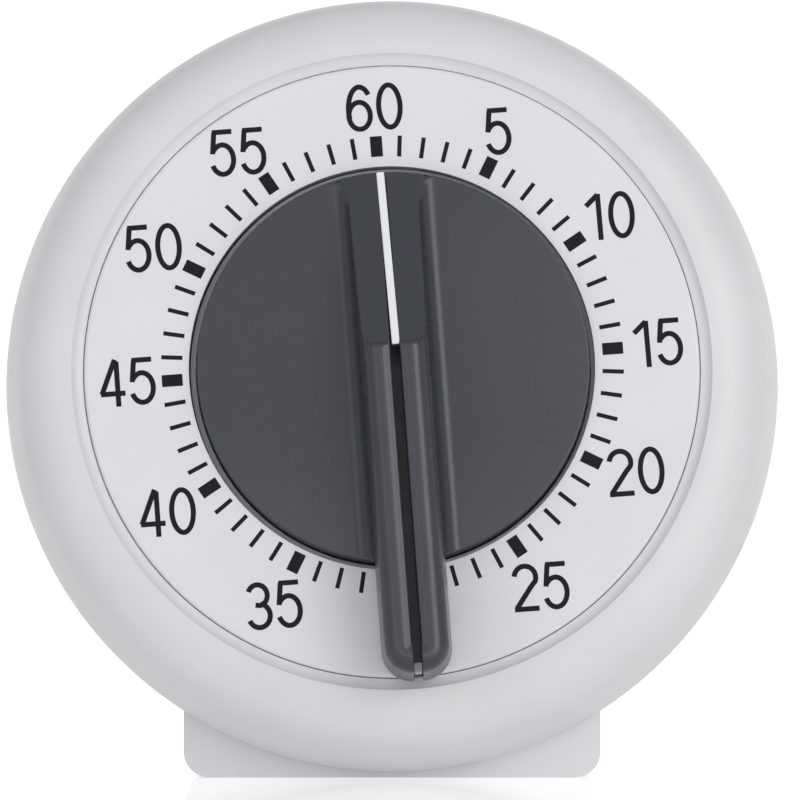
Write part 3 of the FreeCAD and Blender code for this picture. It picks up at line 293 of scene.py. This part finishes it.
def piece(name, mesh, place, body, material, sharp=40):
    """Turn a bmesh in a local frame into a named object that rides on a body."""
    mesh.transform(place)
    bmesh.ops.remove_doubles(mesh, verts=mesh.verts, dist=WELD)
    bmesh.ops.recalc_face_normals(mesh, faces=mesh.faces)
    data = bpy.data.meshes.new(name)
    mesh.to_mesh(data)
    mesh.free()
    data.shade_smooth()
    data.set_sharp_from_angle(angle=math.radians(sharp))
    data.materials.append(material)
    thing = bpy.data.objects.new(name, data)
    bpy.context.scene.collection.objects.link(thing)
    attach(thing, body)
    return thing


# ---------------------------------------------------------------- finishes


def linear(hex_colour):
    """An sRGB hex value as a linear colour with full alpha."""
    channels = [int(hex_colour[place : place + 2], 16) / 255 for place in (1, 3, 5)]
    return tuple([c / 12.92 if c <= 0.04045 else ((c + 0.055) / 1.055) ** 2.4 for c in channels] + [1.0])


def add_node(tree, kind, settings=None, links=None):
    """Add a node to a tree, with its settings and inputs, and link other nodes' outputs to its inputs."""
    node = tree.nodes.new(kind)
    for name, value in (settings or {}).items():
        if isinstance(name, int) or name in node.inputs:
            node.inputs[name].default_value = value
        else:
            setattr(node, name, value)
    for name, source in (links or {}).items():
        tree.links.new(source, node.inputs[name])
    return node


def new_material(name, shader_settings):
    """A new material with a shader in it, its node tree and the shader."""
    material = bpy.data.materials.new(name)
    material.use_nodes = True
    tree = material.node_tree
    tree.nodes.clear()
    shader = add_node(tree, "ShaderNodeBsdfPrincipled", shader_settings)
    add_node(tree, "ShaderNodeOutputMaterial", links={"Surface": shader.outputs["BSDF"]})
    return material, tree, shader


def tone(tree, place, colour, spread, size, shader):
    """Vary the shader's colour by a share of itself, in soft patches of a size in millimetres."""
    settings = {"Scale": 1 / (size * MM), "Detail": 3.0}
    patches = add_node(tree, "ShaderNodeTexNoise", settings, {"Vector": place})
    dark = tuple([c * (1 - spread) for c in colour[:3]] + [1.0])
    light = tuple([min(c * (1 + spread), 1.0) for c in colour[:3]] + [1.0])
    ramp = add_node(tree, "ShaderNodeValToRGB", links={"Fac": patches.outputs["Fac"]})
    ramp.color_ramp.elements[0].position = 0.3
    ramp.color_ramp.elements[0].color = dark
    ramp.color_ramp.elements[1].position = 0.7
    ramp.color_ramp.elements[1].color = light
    tree.links.new(ramp.outputs["Color"], shader.inputs["Base Color"])


def sheen_of(tree, place, low, high, size, shader):
    """Vary the shader's roughness between two values, in soft patches of a size in millimetres."""
    settings = {"Scale": 1 / (size * MM), "Detail": 4.0}
    patches = add_node(tree, "ShaderNodeTexNoise", settings, {"Vector": place})
    limits = {"To Min": low, "To Max": high}
    span = add_node(tree, "ShaderNodeMapRange", limits, {"Value": patches.outputs["Fac"]})
    tree.links.new(span.outputs["Result"], shader.inputs["Roughness"])


def grain(tree, place, size, depth, shader, below=None):
    """Raise a grain of a size and depth in millimetres, over another bump if one is given."""
    settings = {"Scale": 1 / (size * MM), "Detail": 2.0}
    bumps = add_node(tree, "ShaderNodeTexNoise", settings, {"Vector": place})
    links = {"Height": bumps.outputs["Fac"]}
    if below:
        links["Normal"] = below
    bump = add_node(tree, "ShaderNodeBump", {"Strength": 1.0, "Distance": depth * MM}, links)
    tree.links.new(bump.outputs["Normal"], shader.inputs["Normal"])
    return bump.outputs["Normal"]


def abs_plastic(name, colour, roughness, grain_size, grain_depth, wave_depth):
    """ABS, injection moulded in a spark-eroded mould. The fine grain spreads highlights into a satin sheen,
    a slow wave from the moulding's shrinkage keeps broad reflections from being perfect, and the pigment is
    even but for faint flow clouds. The grain is drawn about twice as coarse as the real 0.1 mm, to show."""
    tree, shader = new_material(name, {"IOR": 1.53, "Metallic": 0.0})[1:]
    place = add_node(tree, "ShaderNodeTexCoord").outputs["Object"]
    tone(tree, place, linear(colour), 0.02, 9.0, shader)
    sheen_of(tree, place, roughness - 0.05, roughness + 0.05, 2.5, shader)
    wave = grain(tree, place, 14.0, wave_depth, shader)
    grain(tree, place, grain_size, grain_depth, shader, wave)


def print_ink(name, colour):
    """Pad-printed epoxy ink. It dries nearly matt, a little uneven in gloss where the pad lifted."""
    tree, shader = new_material(name, {"IOR": 1.5, "Specular IOR Level": 0.25})[1:]
    place = add_node(tree, "ShaderNodeTexCoord").outputs["Object"]
    tone(tree, place, linear(colour), 0.15, 0.6, shader)
    sheen_of(tree, place, 0.45, 0.65, 0.8, shader)
    grain(tree, place, 0.25, 0.004, shader)


def sheet_metal(name, colour, roughness, brush_width, stretch, depth):
    """Metal sheet or bar stock with fine parallel tool marks, which stretch its highlights across them."""
    tree, shader = new_material(name, {"Metallic": 1.0})[1:]
    place = add_node(tree, "ShaderNodeTexCoord").outputs["Object"]
    tone(tree, place, linear(colour), 0.06, 5.0, shader)
    sheen_of(tree, place, roughness - 0.06, roughness + 0.08, 1.5, shader)
    mapped = add_node(tree, "ShaderNodeMapping", {"Scale": (1.0, 1.0, stretch)}, {"Vector": place})
    grain(tree, mapped.outputs["Vector"], brush_width, depth, shader)


def acetal(name, colour):
    """Acetal, injection moulded: waxy and slightly see-through, so its thin teeth look soft."""
    settings = {"IOR": 1.48, "Subsurface Weight": 0.15, "Subsurface Scale": 0.5 * MM}
    tree, shader = new_material(name, settings)[1:]
    place = add_node(tree, "ShaderNodeTexCoord").outputs["Object"]
    tone(tree, place, linear(colour), 0.03, 4.0, shader)
    sheen_of(tree, place, 0.3, 0.42, 1.2, shader)
    grain(tree, place, 0.2, 0.003, shader)


MATERIAL_NAMES = {
    "white_case": "abs_white_moulded",
    "white_dial": "abs_white_dial",
    "grey_knob": "abs_slate_grey_moulded",
    "white_pointer": "abs_white_gloss",
    "dial_ink": "epoxy_ink_matt_black",
    "screw_steel": "steel_zinc_plated_turned",
    "plate_steel": "steel_zinc_plated_sheet",
    "spring_steel": "spring_steel_blued",
    "bell_steel": "steel_nickel_plated",
    "shaft_steel": "steel_ground",
    "train_brass": "brass_stamped",
    "white_acetal": "acetal_moulded",
}


def make_finishes(colours):
    """Make every material. The numbers are roughness, then pattern sizes and depths in millimetres."""
    names = MATERIAL_NAMES
    abs_plastic(names["white_case"], colours.case, 0.42, 0.22, 0.004, 0.02)
    abs_plastic(names["white_dial"], colours.dial, 0.4, 0.3, 0.002, 0.01)
    abs_plastic(names["grey_knob"], colours.knob, 0.28, 0.2, 0.003, 0.012)
    abs_plastic(names["white_pointer"], colours.pointer, 0.25, 0.3, 0.001, 0.004)
    print_ink(names["dial_ink"], colours.ink)
    sheet_metal(names["screw_steel"], colours.steel, 0.32, 0.12, 1.0, 0.002)
    sheet_metal(names["plate_steel"], colours.steel, 0.38, 0.15, 0.04, 0.003)
    sheet_metal(names["spring_steel"], "#4A5570", 0.3, 0.1, 0.05, 0.001)
    sheet_metal(names["bell_steel"], "#CFCBC2", 0.14, 0.2, 1.0, 0.0008)
    sheet_metal(names["shaft_steel"], "#BFC0C2", 0.24, 0.08, 0.05, 0.001)
    sheet_metal(names["train_brass"], colours.brass, 0.3, 0.15, 0.06, 0.002)
    acetal(names["white_acetal"], "#EAE8DF")


def finish(slot):
    """The material of a slot of the record. All of them are made when the first is asked for."""
    if MATERIAL_NAMES[slot] not in bpy.data.materials:
        make_finishes(bpy.context.scene.timer_finishes)
    return bpy.data.materials[MATERIAL_NAMES[slot]]


def finish_node(name):
    """Give a CAD node the material of its slot."""
    slot = next(part["material_slot"] for part in frame["record"]["subparts"] if part["node"] == name)
    node = frame["nodes"][name]
    node.data.materials.clear()
    node.data.materials.append(finish(slot))


# ---------------------------------------------------------------- dial print


def digit_strokes(digit, high, wide, stroke):
    """The strokes of a digit, as (points, closed) lines along their middles, with the digit's middle as the
    origin. The fractions are shares of its height or width, chosen for a plain condensed face."""
    left, right = stroke / 2 - wide / 2, wide / 2 - stroke / 2
    low, top = stroke / 2 - high / 2, high / 2 - stroke / 2
    half = (right - left) / 2
    third = high / 3
    if digit == "0":
        return [(ellipse((0, 0), (half, top), 0, 360, 48)[:-1], True)]
    if digit == "1":
        stem = 0.2 * wide
        head = stem - 0.02 * wide
        flag = Vector((left + 0.12 * wide, top - 0.22 * high))
        return [
            ([Vector((stem, low - stroke / 2)), Vector((head, top + stroke / 4))], False),
            ([Vector((head, top + 0.1 * stroke)), flag], False),
        ]
    if digit == "2":
        bowl = ellipse((0, top - half * 1.06), (half, half * 1.06), 172, -22, 26)
        foot = Vector((left + 0.04 * wide, low + stroke * 0.3))
        bend = bowl[-1] + Vector((-0.16 * wide, -0.1 * high))
        return [
            (bowl + [bend, foot], False),
            ([Vector((left - stroke * 0.3, low)), Vector((right + stroke * 0.3, low))], False),
        ]
    if digit == "3":
        upper = ellipse((-0.02 * wide, top - third * 0.66), (half * 0.9, third * 0.66), 158, -78, 26)
        lower = ellipse((0, low + third * 0.74), (half, third * 0.74), 82, -158, 30)
        waist = Vector((-0.12 * wide, (upper[-1].y + lower[0].y) / 2))
        return [(upper + [waist], False), (lower, False)]
    if digit == "4":
        stem = 0.2 * wide
        bar = low + 0.22 * high
        return [
            ([Vector((stem, low - stroke / 2)), Vector((stem, top))], False),
            ([Vector((left - stroke * 0.2, bar)), Vector((right + stroke * 0.4, bar))], False),
            ([Vector((stem - 0.05 * wide, top + stroke * 0.4)), Vector((left, bar))], False),
        ]
    if digit == "5":
        elbow = Vector((left + 0.02 * wide, low + 0.49 * high))
        corner = Vector((left + 0.12 * wide, top))
        bowl = ellipse((-0.02 * wide, low + 0.31 * high), (half * 1.02, 0.31 * high), 140, -158, 34)
        return [
            ([corner + Vector((-stroke * 0.4, 0)), Vector((right - 0.02 * wide, top))], False),
            ([corner, elbow + Vector((0, -stroke * 0.5))], False),
            ([elbow + Vector((0, -stroke * 0.1))] + bowl, False),
        ]
    ring = ellipse((0, low + 0.285 * high), (half, 0.285 * high), 0, 360, 40)[:-1]
    radii = (half + 0.04 * wide, top - low - 0.4 * high)
    back = ellipse((0.04 * wide, low + 0.4 * high), radii, 200, 40, 26)
    return [(ring, True), (back, False)]


# a numeral's own shift from the ring, across and up, in millimetres, as the artwork sets it by eye
NUMERALS = (
    ("60", 0.4, -0.1),
    ("5", -0.7, 0.1),
    ("10", 0.0, 0.5),
    ("15", 0.3, 0.6),
    ("20", 0.9, 1.1),
    ("25", 0.2, -0.1),
    ("30", 0.0, 0.0),
    ("35", 0.0, 0.0),
    ("40", -0.3, 0.4),
    ("45", 0.2, 0.5),
    ("50", 0.2, 0.6),
    ("55", -0.4, -0.1),
)
DIGIT_PROPORTION = 0.555
ONE_KERNING = 0.05
INK = 0.012 * MM
LAYER = 0.002 * MM


def dial_numerals(dial):
    """The numerals, upright in the dial's own frame. Each stroke lies a hair over the one before it."""
    mesh = bmesh.new()
    wide = DIGIT_PROPORTION * dial.numeral_height
    for number, (label, across, up) in enumerate(NUMERALS):
        turn = math.radians(90 - 30 * number)
        middle = Vector((math.cos(turn), math.sin(turn))) * dial.numeral_ring + Vector((across, up)) * MM
        for place, digit in enumerate(label):
            shift = (place - (len(label) - 1) / 2) * dial.pitch
            if label[0] == "1":
                shift += ONE_KERNING * dial.pitch * (1 if place == 0 else -1)
            strokes = digit_strokes(digit, dial.numeral_height, wide, dial.stroke)
            for layer, (points, closed) in enumerate(strokes):
                moved = [point + middle + Vector((shift, 0)) for point in points]
                ribbon(mesh, moved, dial.stroke, INK + LAYER * layer, closed)
    return mesh


def dial_marks(dial, each_fifth):
    """The thin minute marks, or the wide five-minute marks, both cut square."""
    mesh = bmesh.new()
    reach = (dial.major_length if each_fifth else dial.minor_length) / 2
    width = dial.major_width if each_fifth else dial.minor_width
    for minute in range(60):
        if (minute % 5 == 0) != each_fifth:
            continue
        turn = Matrix.Rotation(math.radians(90 - 6 * minute), 2)
        ends = [Vector((dial.tick_ring + side * reach, 0)) for side in (-1, 1)]
        ribbon(mesh, [turn @ end for end in ends], width, INK)
    return mesh


def dial_lip(dial):
    """The narrow ledge inside the dial's hole, which almost closes the gap round the knob."""
    inner, outer = dial.lip_inner, dial.lip_outer
    top = -dial.lip_drop
    under = top - dial.lip_thickness
    ease = dial.lip_thickness / 5
    corners = ((inner, under), (outer, under), (outer, top), (inner + ease, top), (inner, top - ease))
    return revolved(corners)


class TIMER_OT_dial_print(bpy.types.Operator):
    """Print the minute marks and the numerals on the dial"""

    bl_idname = "timer.dial_print"
    bl_label = "Dial print"

    def execute(self, context):
        dial = context.scene.timer_dial
        ink = finish("dial_ink")
        marks = face_frame(-dial.tick_left, dial.tick_rise, dial.turn)
        numerals = face_frame(-dial.numeral_left, -dial.numeral_drop, dial.turn)
        piece("minute_marks", dial_marks(dial, False), marks, "case", ink)
        piece("five_minute_marks", dial_marks(dial, True), marks, "case", ink)
        piece("numerals", dial_numerals(dial), numerals, "case", ink)
        lip = dial_lip(dial)
        piece("dial_lip", lip, face_frame(), "case", finish("white_dial"))
        return {"FINISHED"}


# ---------------------------------------------------------------- knob


def knob_disc(knob):
    """The disc with its rounded edge, skirt and hub."""
    plate = knob.front - knob.plate
    wall = knob.radius - knob.wall
    corners = (
        (0, knob.front),
        (0, plate),
        (knob.bore, plate),
        (knob.bore, -knob.hub_depth),
        (knob.hub, -knob.hub_depth),
        (knob.hub, plate),
        (wall, plate),
        (wall, -knob.skirt),
        (knob.radius, -knob.skirt),
        (knob.radius, knob.front - knob.edge),
        (knob.radius - knob.edge, knob.front),
    )
    return revolved(outline(corners, {9: knob.edge}, 5))


def ramp_over(knob, across, along):
    """Height of the ramp that carries the pointer, or None below its head, where the crest is whole."""
    slope = (knob.ramp_top - knob.front) / (knob.ramp_foot - knob.ramp_head)
    height = knob.front + slope * (knob.ramp_foot - along)
    corner = knob.ramp_corner
    past = min(max(across - (knob.shoulder_half - corner), 0), corner)
    head = knob.ramp_head + corner - math.sqrt(corner**2 - past**2)
    climb = (head - along) / knob.ramp_climb
    if climb >= 1:
        return None
    if climb > 0:
        height += (knob.shoulder_height + knob.lobe - height) * climb * climb * (3 - 2 * climb)
    return height


FLARE_STEPS = 14
FLANK_STEPS = 40
LOBE_STEPS = 28
EDGE_STEPS = 5
WALL_STEPS = 6


def grip_half_section(knob, on_disc):
    """Half of the grip's section: (across, height) points from the middle of its underside, out and up its
    flank, over the lobe and down to the middle of the slot's floor."""
    low = knob.front - knob.grip_sink if on_disc else knob.front
    spread = knob.flare_half - knob.root_half if on_disc else 0.0
    section = [(0.0, low), (knob.root_half + spread, low)]
    for step in range(FLARE_STEPS + 1):
        turn = math.radians(90 * step / FLARE_STEPS)
        across = knob.root_half + spread * (1 - math.sin(turn))
        section.append((across, knob.front + knob.flare_height * (1 - math.cos(turn))))
    start = section[-1]
    for step in range(1, FLANK_STEPS + 1):
        share = step / FLANK_STEPS
        across = start[0] + (knob.shoulder_half - start[0]) * share
        section.append((across, start[1] + (knob.shoulder_height - start[1]) * share))
    centre = (knob.shoulder_half - knob.lobe, knob.shoulder_height)
    edge = knob.slot_edge
    last = math.degrees(math.acos((knob.slot_half + edge - centre[0]) / knob.lobe))
    section += ellipse(centre, (knob.lobe, knob.lobe), 0, last, LOBE_STEPS)[1:]
    turn_in = section[-1][1] - edge
    section += ellipse((knob.slot_half + edge, turn_in), (edge, edge), 90, 180, EDGE_STEPS)[1:]
    for step in range(1, WALL_STEPS + 1):
        section.append((knob.slot_half, turn_in + (knob.slot_floor - turn_in) * step / WALL_STEPS))
    section.append((0.0, knob.slot_floor))
    return section


def flank_at(section, height):
    """How far across the outside of the section reaches at a height."""
    for (across, low), (further, high) in zip(section[1:], section[2:]):
        if low <= height <= high and high > low:
            return across + (further - across) * (height - low) / (high - low)
    return section[1][0]


def ramped(knob, section, along):
    """The section with what stands over the ramp taken off, and the ramp's long edges eased. The slot is
    kept open a little below the ramp."""
    ease = knob.ramp_ease
    slot_depth = 0.35 * MM
    row = []
    top = knob.shoulder_height + 0.9 * knob.lobe
    for number, (across, height) in enumerate(section):
        cap = ramp_over(knob, across, along)
        if cap is None or number < 2:
            row.append((across, height))
            continue
        rim = flank_at(section, min(cap, top))
        inset = min(max(across - (rim - ease), 0), ease)
        cap -= ease - math.sqrt(ease**2 - inset**2)
        deep = cap - slot_depth if number >= len(section) - 2 else cap
        row.append((across, min(height, deep)))
    return row


def grip_stations(rim):
    """Where the grip's sections stand on the disc: in even steps down the ramp, in fine ones over its head,
    and in long ones along the crest."""
    stations = [rim]
    for count, step in ((43, 0.4 * MM), (39, 0.08 * MM)):
        start = stations[-1]
        stations += [start - step * number for number in range(1, count + 1)]
    start = stations[-1]
    crest = 20
    return stations + [start + (-rim - start) * number / crest for number in range(1, crest + 1)]


OVERHANG_STEPS = 12
TIP_STEPS = 18


def knob_grip(knob):
    """The grip: each half is its section swept down from the ramp and round the tip to the slot's open end.
    A block between the halves is the slot's floor there."""
    mesh = bmesh.new()
    rim = knob.radius - knob.grip_inset
    tip = knob.root_half - knob.slot_half - knob.reach
    full = grip_half_section(knob, True)
    bare = grip_half_section(knob, False)
    rows = []
    for along in grip_stations(rim):
        row = []
        for across, height in ramped(knob, full, along):
            arc = math.sqrt(rim**2 - across**2)
            row.append((across, min(max(along, -arc), arc), height))
        rows.append(row)
    rows.append([(across, -math.sqrt(rim**2 - across**2), height) for across, height in bare])
    for step in range(1, OVERHANG_STEPS + 1):
        along = -rim + (tip + rim) * step / OVERHANG_STEPS
        rows.append([(across, along, height) for across, height in bare])
    for step in range(1, TIP_STEPS + 1):
        turn = math.radians(90 * step / TIP_STEPS)
        row = []
        for across, height in bare:
            reach = across - knob.slot_half
            if reach < 0:
                row.append((across, tip, height))
                continue
            row.append((knob.slot_half + reach * math.cos(turn), tip - reach * math.sin(turn), height))
        rows.append(row)
    for side in (-1, 1):
        loft(mesh, [[(side * across, along, height) for across, along, height in row] for row in rows])
    inner = [face for face in mesh.faces if all(abs(vertex.co.x) < WELD for vertex in face.verts)]
    bmesh.ops.delete(mesh, geom=inner, context="FACES")
    half = knob.slot_half + 0.05 * MM
    end = 0.4 * MM - knob.reach
    low, high = knob.front, knob.slot_floor
    corners = ((-half, low), (half, low), (half, high), (-half, high))
    loft(mesh, [[(across, along, height) for across, height in corners] for along in (tip, end)])
    return mesh


def slab(mesh, corners, half):
    """A flat plate in the grip's middle plane, from (along, height) corners, with its edges eased."""
    ease = 0.06 * MM
    plate = bmesh.new()
    sides = [[plate.verts.new((across, *corner)) for corner in corners] for across in (-half, half)]
    for number in range(len(corners)):
        after = (number + 1) % len(corners)
        plate.faces.new((sides[0][number], sides[0][after], sides[1][after], sides[1][number]))
    plate.faces.new(sides[0])
    plate.faces.new(list(reversed(sides[1])))
    bmesh.ops.recalc_face_normals(plate, faces=plate.faces)
    bmesh.ops.bevel(plate, geom=plate.edges[:], offset=ease, segments=2, affect="EDGES")
    data = bpy.data.meshes.new("slab")
    plate.to_mesh(data)
    plate.free()
    mesh.from_mesh(data)
    bpy.data.meshes.remove(data)


def pointer_blade(knob):
    """The white strip: it stands a little proud of the ramp, and its foot shows in the slot's open end."""
    mesh = bmesh.new()
    foot = knob.radius - 0.05 * MM
    head = knob.ramp_head - 0.6 * MM
    proud = 0.1 * MM
    undercut = 0.8 * MM
    rise = (
        (foot, knob.front - 0.4 * MM),
        (foot, ramp_over(knob, 0, foot) + proud),
        (head, ramp_over(knob, 0, knob.ramp_head) + 0.5 * MM),
        (head + undercut, knob.front),
    )
    slab(mesh, rise, knob.strip_half)
    middle = Matrix.Translation((0, (foot + head) / 2, 0))
    mesh.transform(middle @ Matrix.Rotation(knob.strip_skew, 4, "Z") @ middle.inverted())
    end = 0.6 * MM - knob.reach
    back = end + 1.1 * MM
    low, high = 1.6 * MM, 4.6 * MM
    slab(mesh, ((end, low), (end, high), (back, high), (back, low)), 0.42 * MM)
    return mesh


class TIMER_OT_knob(bpy.types.Operator):
    """Mould the knob: its disc with the skirt and hub, and the slotted grip with the pointer's ramp"""

    bl_idname = "timer.knob"
    bl_label = "Knob"

    def execute(self, context):
        knob = context.scene.timer_knob
        turn = face_frame(turn=context.scene.timer_dial.turn)
        grey = finish("grey_knob")
        disc = piece("knob_disc", knob_disc(knob), turn, ON_KNOB, grey)
        place = turn @ Matrix.Translation((knob.grip_right, 0, 0))
        grip = piece("knob_grip", knob_grip(knob), place, ON_KNOB, grey, 32)
        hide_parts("knob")
        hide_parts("knob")
        return {"FINISHED"}


class TIMER_OT_pointer(bpy.types.Operator):
    """Slide the white pointer strip into the grip's slot"""

    bl_idname = "timer.pointer"
    bl_label = "Pointer strip"

    def execute(self, context):
        knob = context.scene.timer_knob
        turn = face_frame(turn=context.scene.timer_dial.turn)
        place = turn @ Matrix.Translation((knob.grip_right, 0, 0))
        white = finish("white_pointer")
        strip = piece("pointer_blade", pointer_blade(knob), place, ON_KNOB, white)
        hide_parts("pointer_strip")
        return {"FINISHED"}


# ---------------------------------------------------------------- case and movement


IN_CASE = ("front_bezel", "rear_case", "dial_plate")
REPLACED = ("knob", "pointer_strip")


class TIMER_OT_case(bpy.types.Operator):
    """Finish the bezel, the rear case with its foot, and the dial"""

    bl_idname = "timer.case"
    bl_label = "Case and dial"

    def execute(self, context):
        for name in IN_CASE:
            finish_node(name)
        return {"FINISHED"}


class TIMER_OT_movement(bpy.types.Operator):
    """Finish the plates, train, mainspring, escapement, striker, bell and fasteners inside the case"""

    bl_idname = "timer.movement"
    bl_label = "Movement"

    def execute(self, context):
        for name in frame["nodes"]:
            if name not in IN_CASE + REPLACED:
                finish_node(name)
        return {"FINISHED"}


# ---------------------------------------------------------------- photo table


def softbox(name, place, width, height, power, colour):
    """A rectangular lamp with an even face, aimed at the timer."""
    lamp = bpy.data.lights.new(name, "AREA")
    lamp.shape = "RECTANGLE"
    lamp.size = width
    lamp.size_y = height
    lamp.energy = power
    lamp.color = colour
    holder = bpy.data.objects.new(name, lamp)
    holder.location = place
    holder.rotation_euler = (TIMER_MIDDLE - Vector(place)).to_track_quat("-Z", "Y").to_euler()
    bpy.context.scene.collection.objects.link(holder)


def white_room(strength):
    """A plain white room: seen directly it is white, and as a light it has the given strength."""
    world = bpy.data.worlds.new("white_room")
    world.use_nodes = True
    tree = world.node_tree
    tree.nodes.clear()
    ray = add_node(tree, "ShaderNodeLightPath")
    light = add_node(tree, "ShaderNodeBackground", {"Color": (0.97, 0.98, 1.0, 1.0), "Strength": strength})
    seen = add_node(tree, "ShaderNodeBackground", {"Color": (1.0, 1.0, 1.0, 1.0), "Strength": 1.0})
    mix = add_node(
        tree,
        "ShaderNodeMixShader",
        links={0: ray.outputs["Is Camera Ray"], 1: light.outputs[0], 2: seen.outputs[0]},
    )
    add_node(tree, "ShaderNodeOutputWorld", links={"Surface": mix.outputs[0]})
    bpy.context.scene.world = world


def stage_sheet(name, corners, material):
    """A flat sheet of the photo table, from its corners."""
    mesh = bmesh.new()
    mesh.faces.new([mesh.verts.new(corner) for corner in corners])
    data = bpy.data.meshes.new(name)
    mesh.to_mesh(data)
    mesh.free()
    data.materials.append(material)
    sheet = bpy.data.objects.new(name, data)
    bpy.context.scene.collection.objects.link(sheet)


def photo_table(stage):
    """Polished white acrylic with a white backdrop behind it. At a low angle the acrylic mirrors the
    backdrop, and so looks white, but for the faint mirror image of the foot."""
    white = (1.0, 1.0, 1.0, 1.0)
    black = (0.0, 0.0, 0.0, 1.0)
    settings = {"Base Color": (0.8, 0.8, 0.8, 1.0), "Roughness": 0.06, "Emission Color": white}
    acrylic, tree, shader = new_material("acrylic_white_polished", settings)
    ray = add_node(tree, "ShaderNodeLightPath")
    glow = add_node(
        tree,
        "ShaderNodeMapRange",
        {"To Min": stage.table_glow, "To Max": stage.table_seen},
        {"Value": ray.outputs["Is Camera Ray"]},
    )
    tree.links.new(glow.outputs["Result"], shader.inputs["Emission Strength"])
    settings = {"Base Color": black, "Emission Color": white, "Emission Strength": 1.05}
    paper = new_material("paper_white_backdrop", settings)[0]
    reach, back, low, high = 3.0, 1.6, -0.01 * MM, 0.9
    floor = ((-reach, -reach, low), (reach, -reach, low), (reach, back, low), (-reach, back, low))
    screen = ((-reach, back, low), (reach, back, low), (reach, back, high), (-reach, back, high))
    stage_sheet("photo_table", floor, acrylic)
    stage_sheet("backdrop", screen, paper)


class TIMER_OT_stage(bpy.types.Operator):
    """Set up the table, the softboxes and the camera"""

    bl_idname = "timer.stage"
    bl_label = "Photo table"

    def execute(self, context):
        stage = context.scene.timer_stage
        photo_table(stage)
        white_room(stage.room)
        boxes = (
            ("softbox_right", (0.62, -0.95, 0.3), 0.6, 0.8, stage.key, (1.0, 0.985, 0.97)),
            ("softbox_left", (-0.62, -0.95, 0.3), 0.6, 0.8, stage.fill, (0.97, 0.98, 1.0)),
            ("softbox_front", (0.0, -1.2, 0.38), 0.5, 0.36, stage.front, (1.0, 1.0, 1.0)),
            ("softbox_low", (0.0, -1.1, 0.02), 0.9, 0.1, stage.low, (1.0, 1.0, 1.0)),
        )
        for box in boxes:
            softbox(*box)
        lens = bpy.data.cameras.new("camera")
        lens.lens = stage.lens
        lens.sensor_width = 36.0
        lens.clip_start = 0.01
        camera = bpy.data.objects.new("camera", lens)
        camera.location = (stage.across, -stage.distance, stage.height)
        camera.rotation_euler = (math.radians(90), 0, 0)
        context.scene.collection.objects.link(camera)
        context.scene.camera = camera
        context.scene.view_settings.view_transform = "Standard"
        return {"FINISHED"}


# ---------------------------------------------------------------- the add-on


class TIMER_PT_panel(bpy.types.Panel):
    """Lists the timer's pieces in the 3D view's sidebar"""

    bl_idname = "TIMER_PT_panel"
    bl_label = "Kitchen Timer"
    bl_space_type = "VIEW_3D"
    bl_region_type = "UI"
    bl_category = "Timer"

    def draw(self, context):
        for group_name in GROUPS:
            group = getattr(context.scene, group_name)
            box = self.layout.box()
            for name in group.__annotations__:
                box.prop(group, name)
        for operator in OPERATORS:
            self.layout.operator(operator.bl_idname)


GROUPS = {
    "timer_dial": TimerDialProps,
    "timer_knob": TimerKnobProps,
    "timer_finishes": TimerFinishProps,
    "timer_stage": TimerStageProps,
}
OPERATORS = (
    TIMER_OT_case,
    TIMER_OT_dial_print,
    TIMER_OT_knob,
    TIMER_OT_pointer,
    TIMER_OT_movement,
    TIMER_OT_stage,
)


def register():
    for group in GROUPS.values():
        bpy.utils.register_class(group)
    for operator in OPERATORS:
        bpy.utils.register_class(operator)
    bpy.utils.register_class(TIMER_PT_panel)
    for name, group in GROUPS.items():
        setattr(bpy.types.Scene, name, PointerProperty(type=group))


def unregister():
    for name in GROUPS:
        delattr(bpy.types.Scene, name)
    bpy.utils.unregister_class(TIMER_PT_panel)
    for operator in reversed(OPERATORS):
        bpy.utils.unregister_class(operator)
    for group in reversed(GROUPS.values()):
        bpy.utils.unregister_class(group)


def main():
    register()
    bpy.ops.timer.case()
    bpy.ops.timer.dial_print()
    bpy.ops.timer.knob()
    bpy.ops.timer.pointer()
    bpy.ops.timer.movement()
    bpy.ops.timer.stage()


if __name__ == "__main__":
    main()
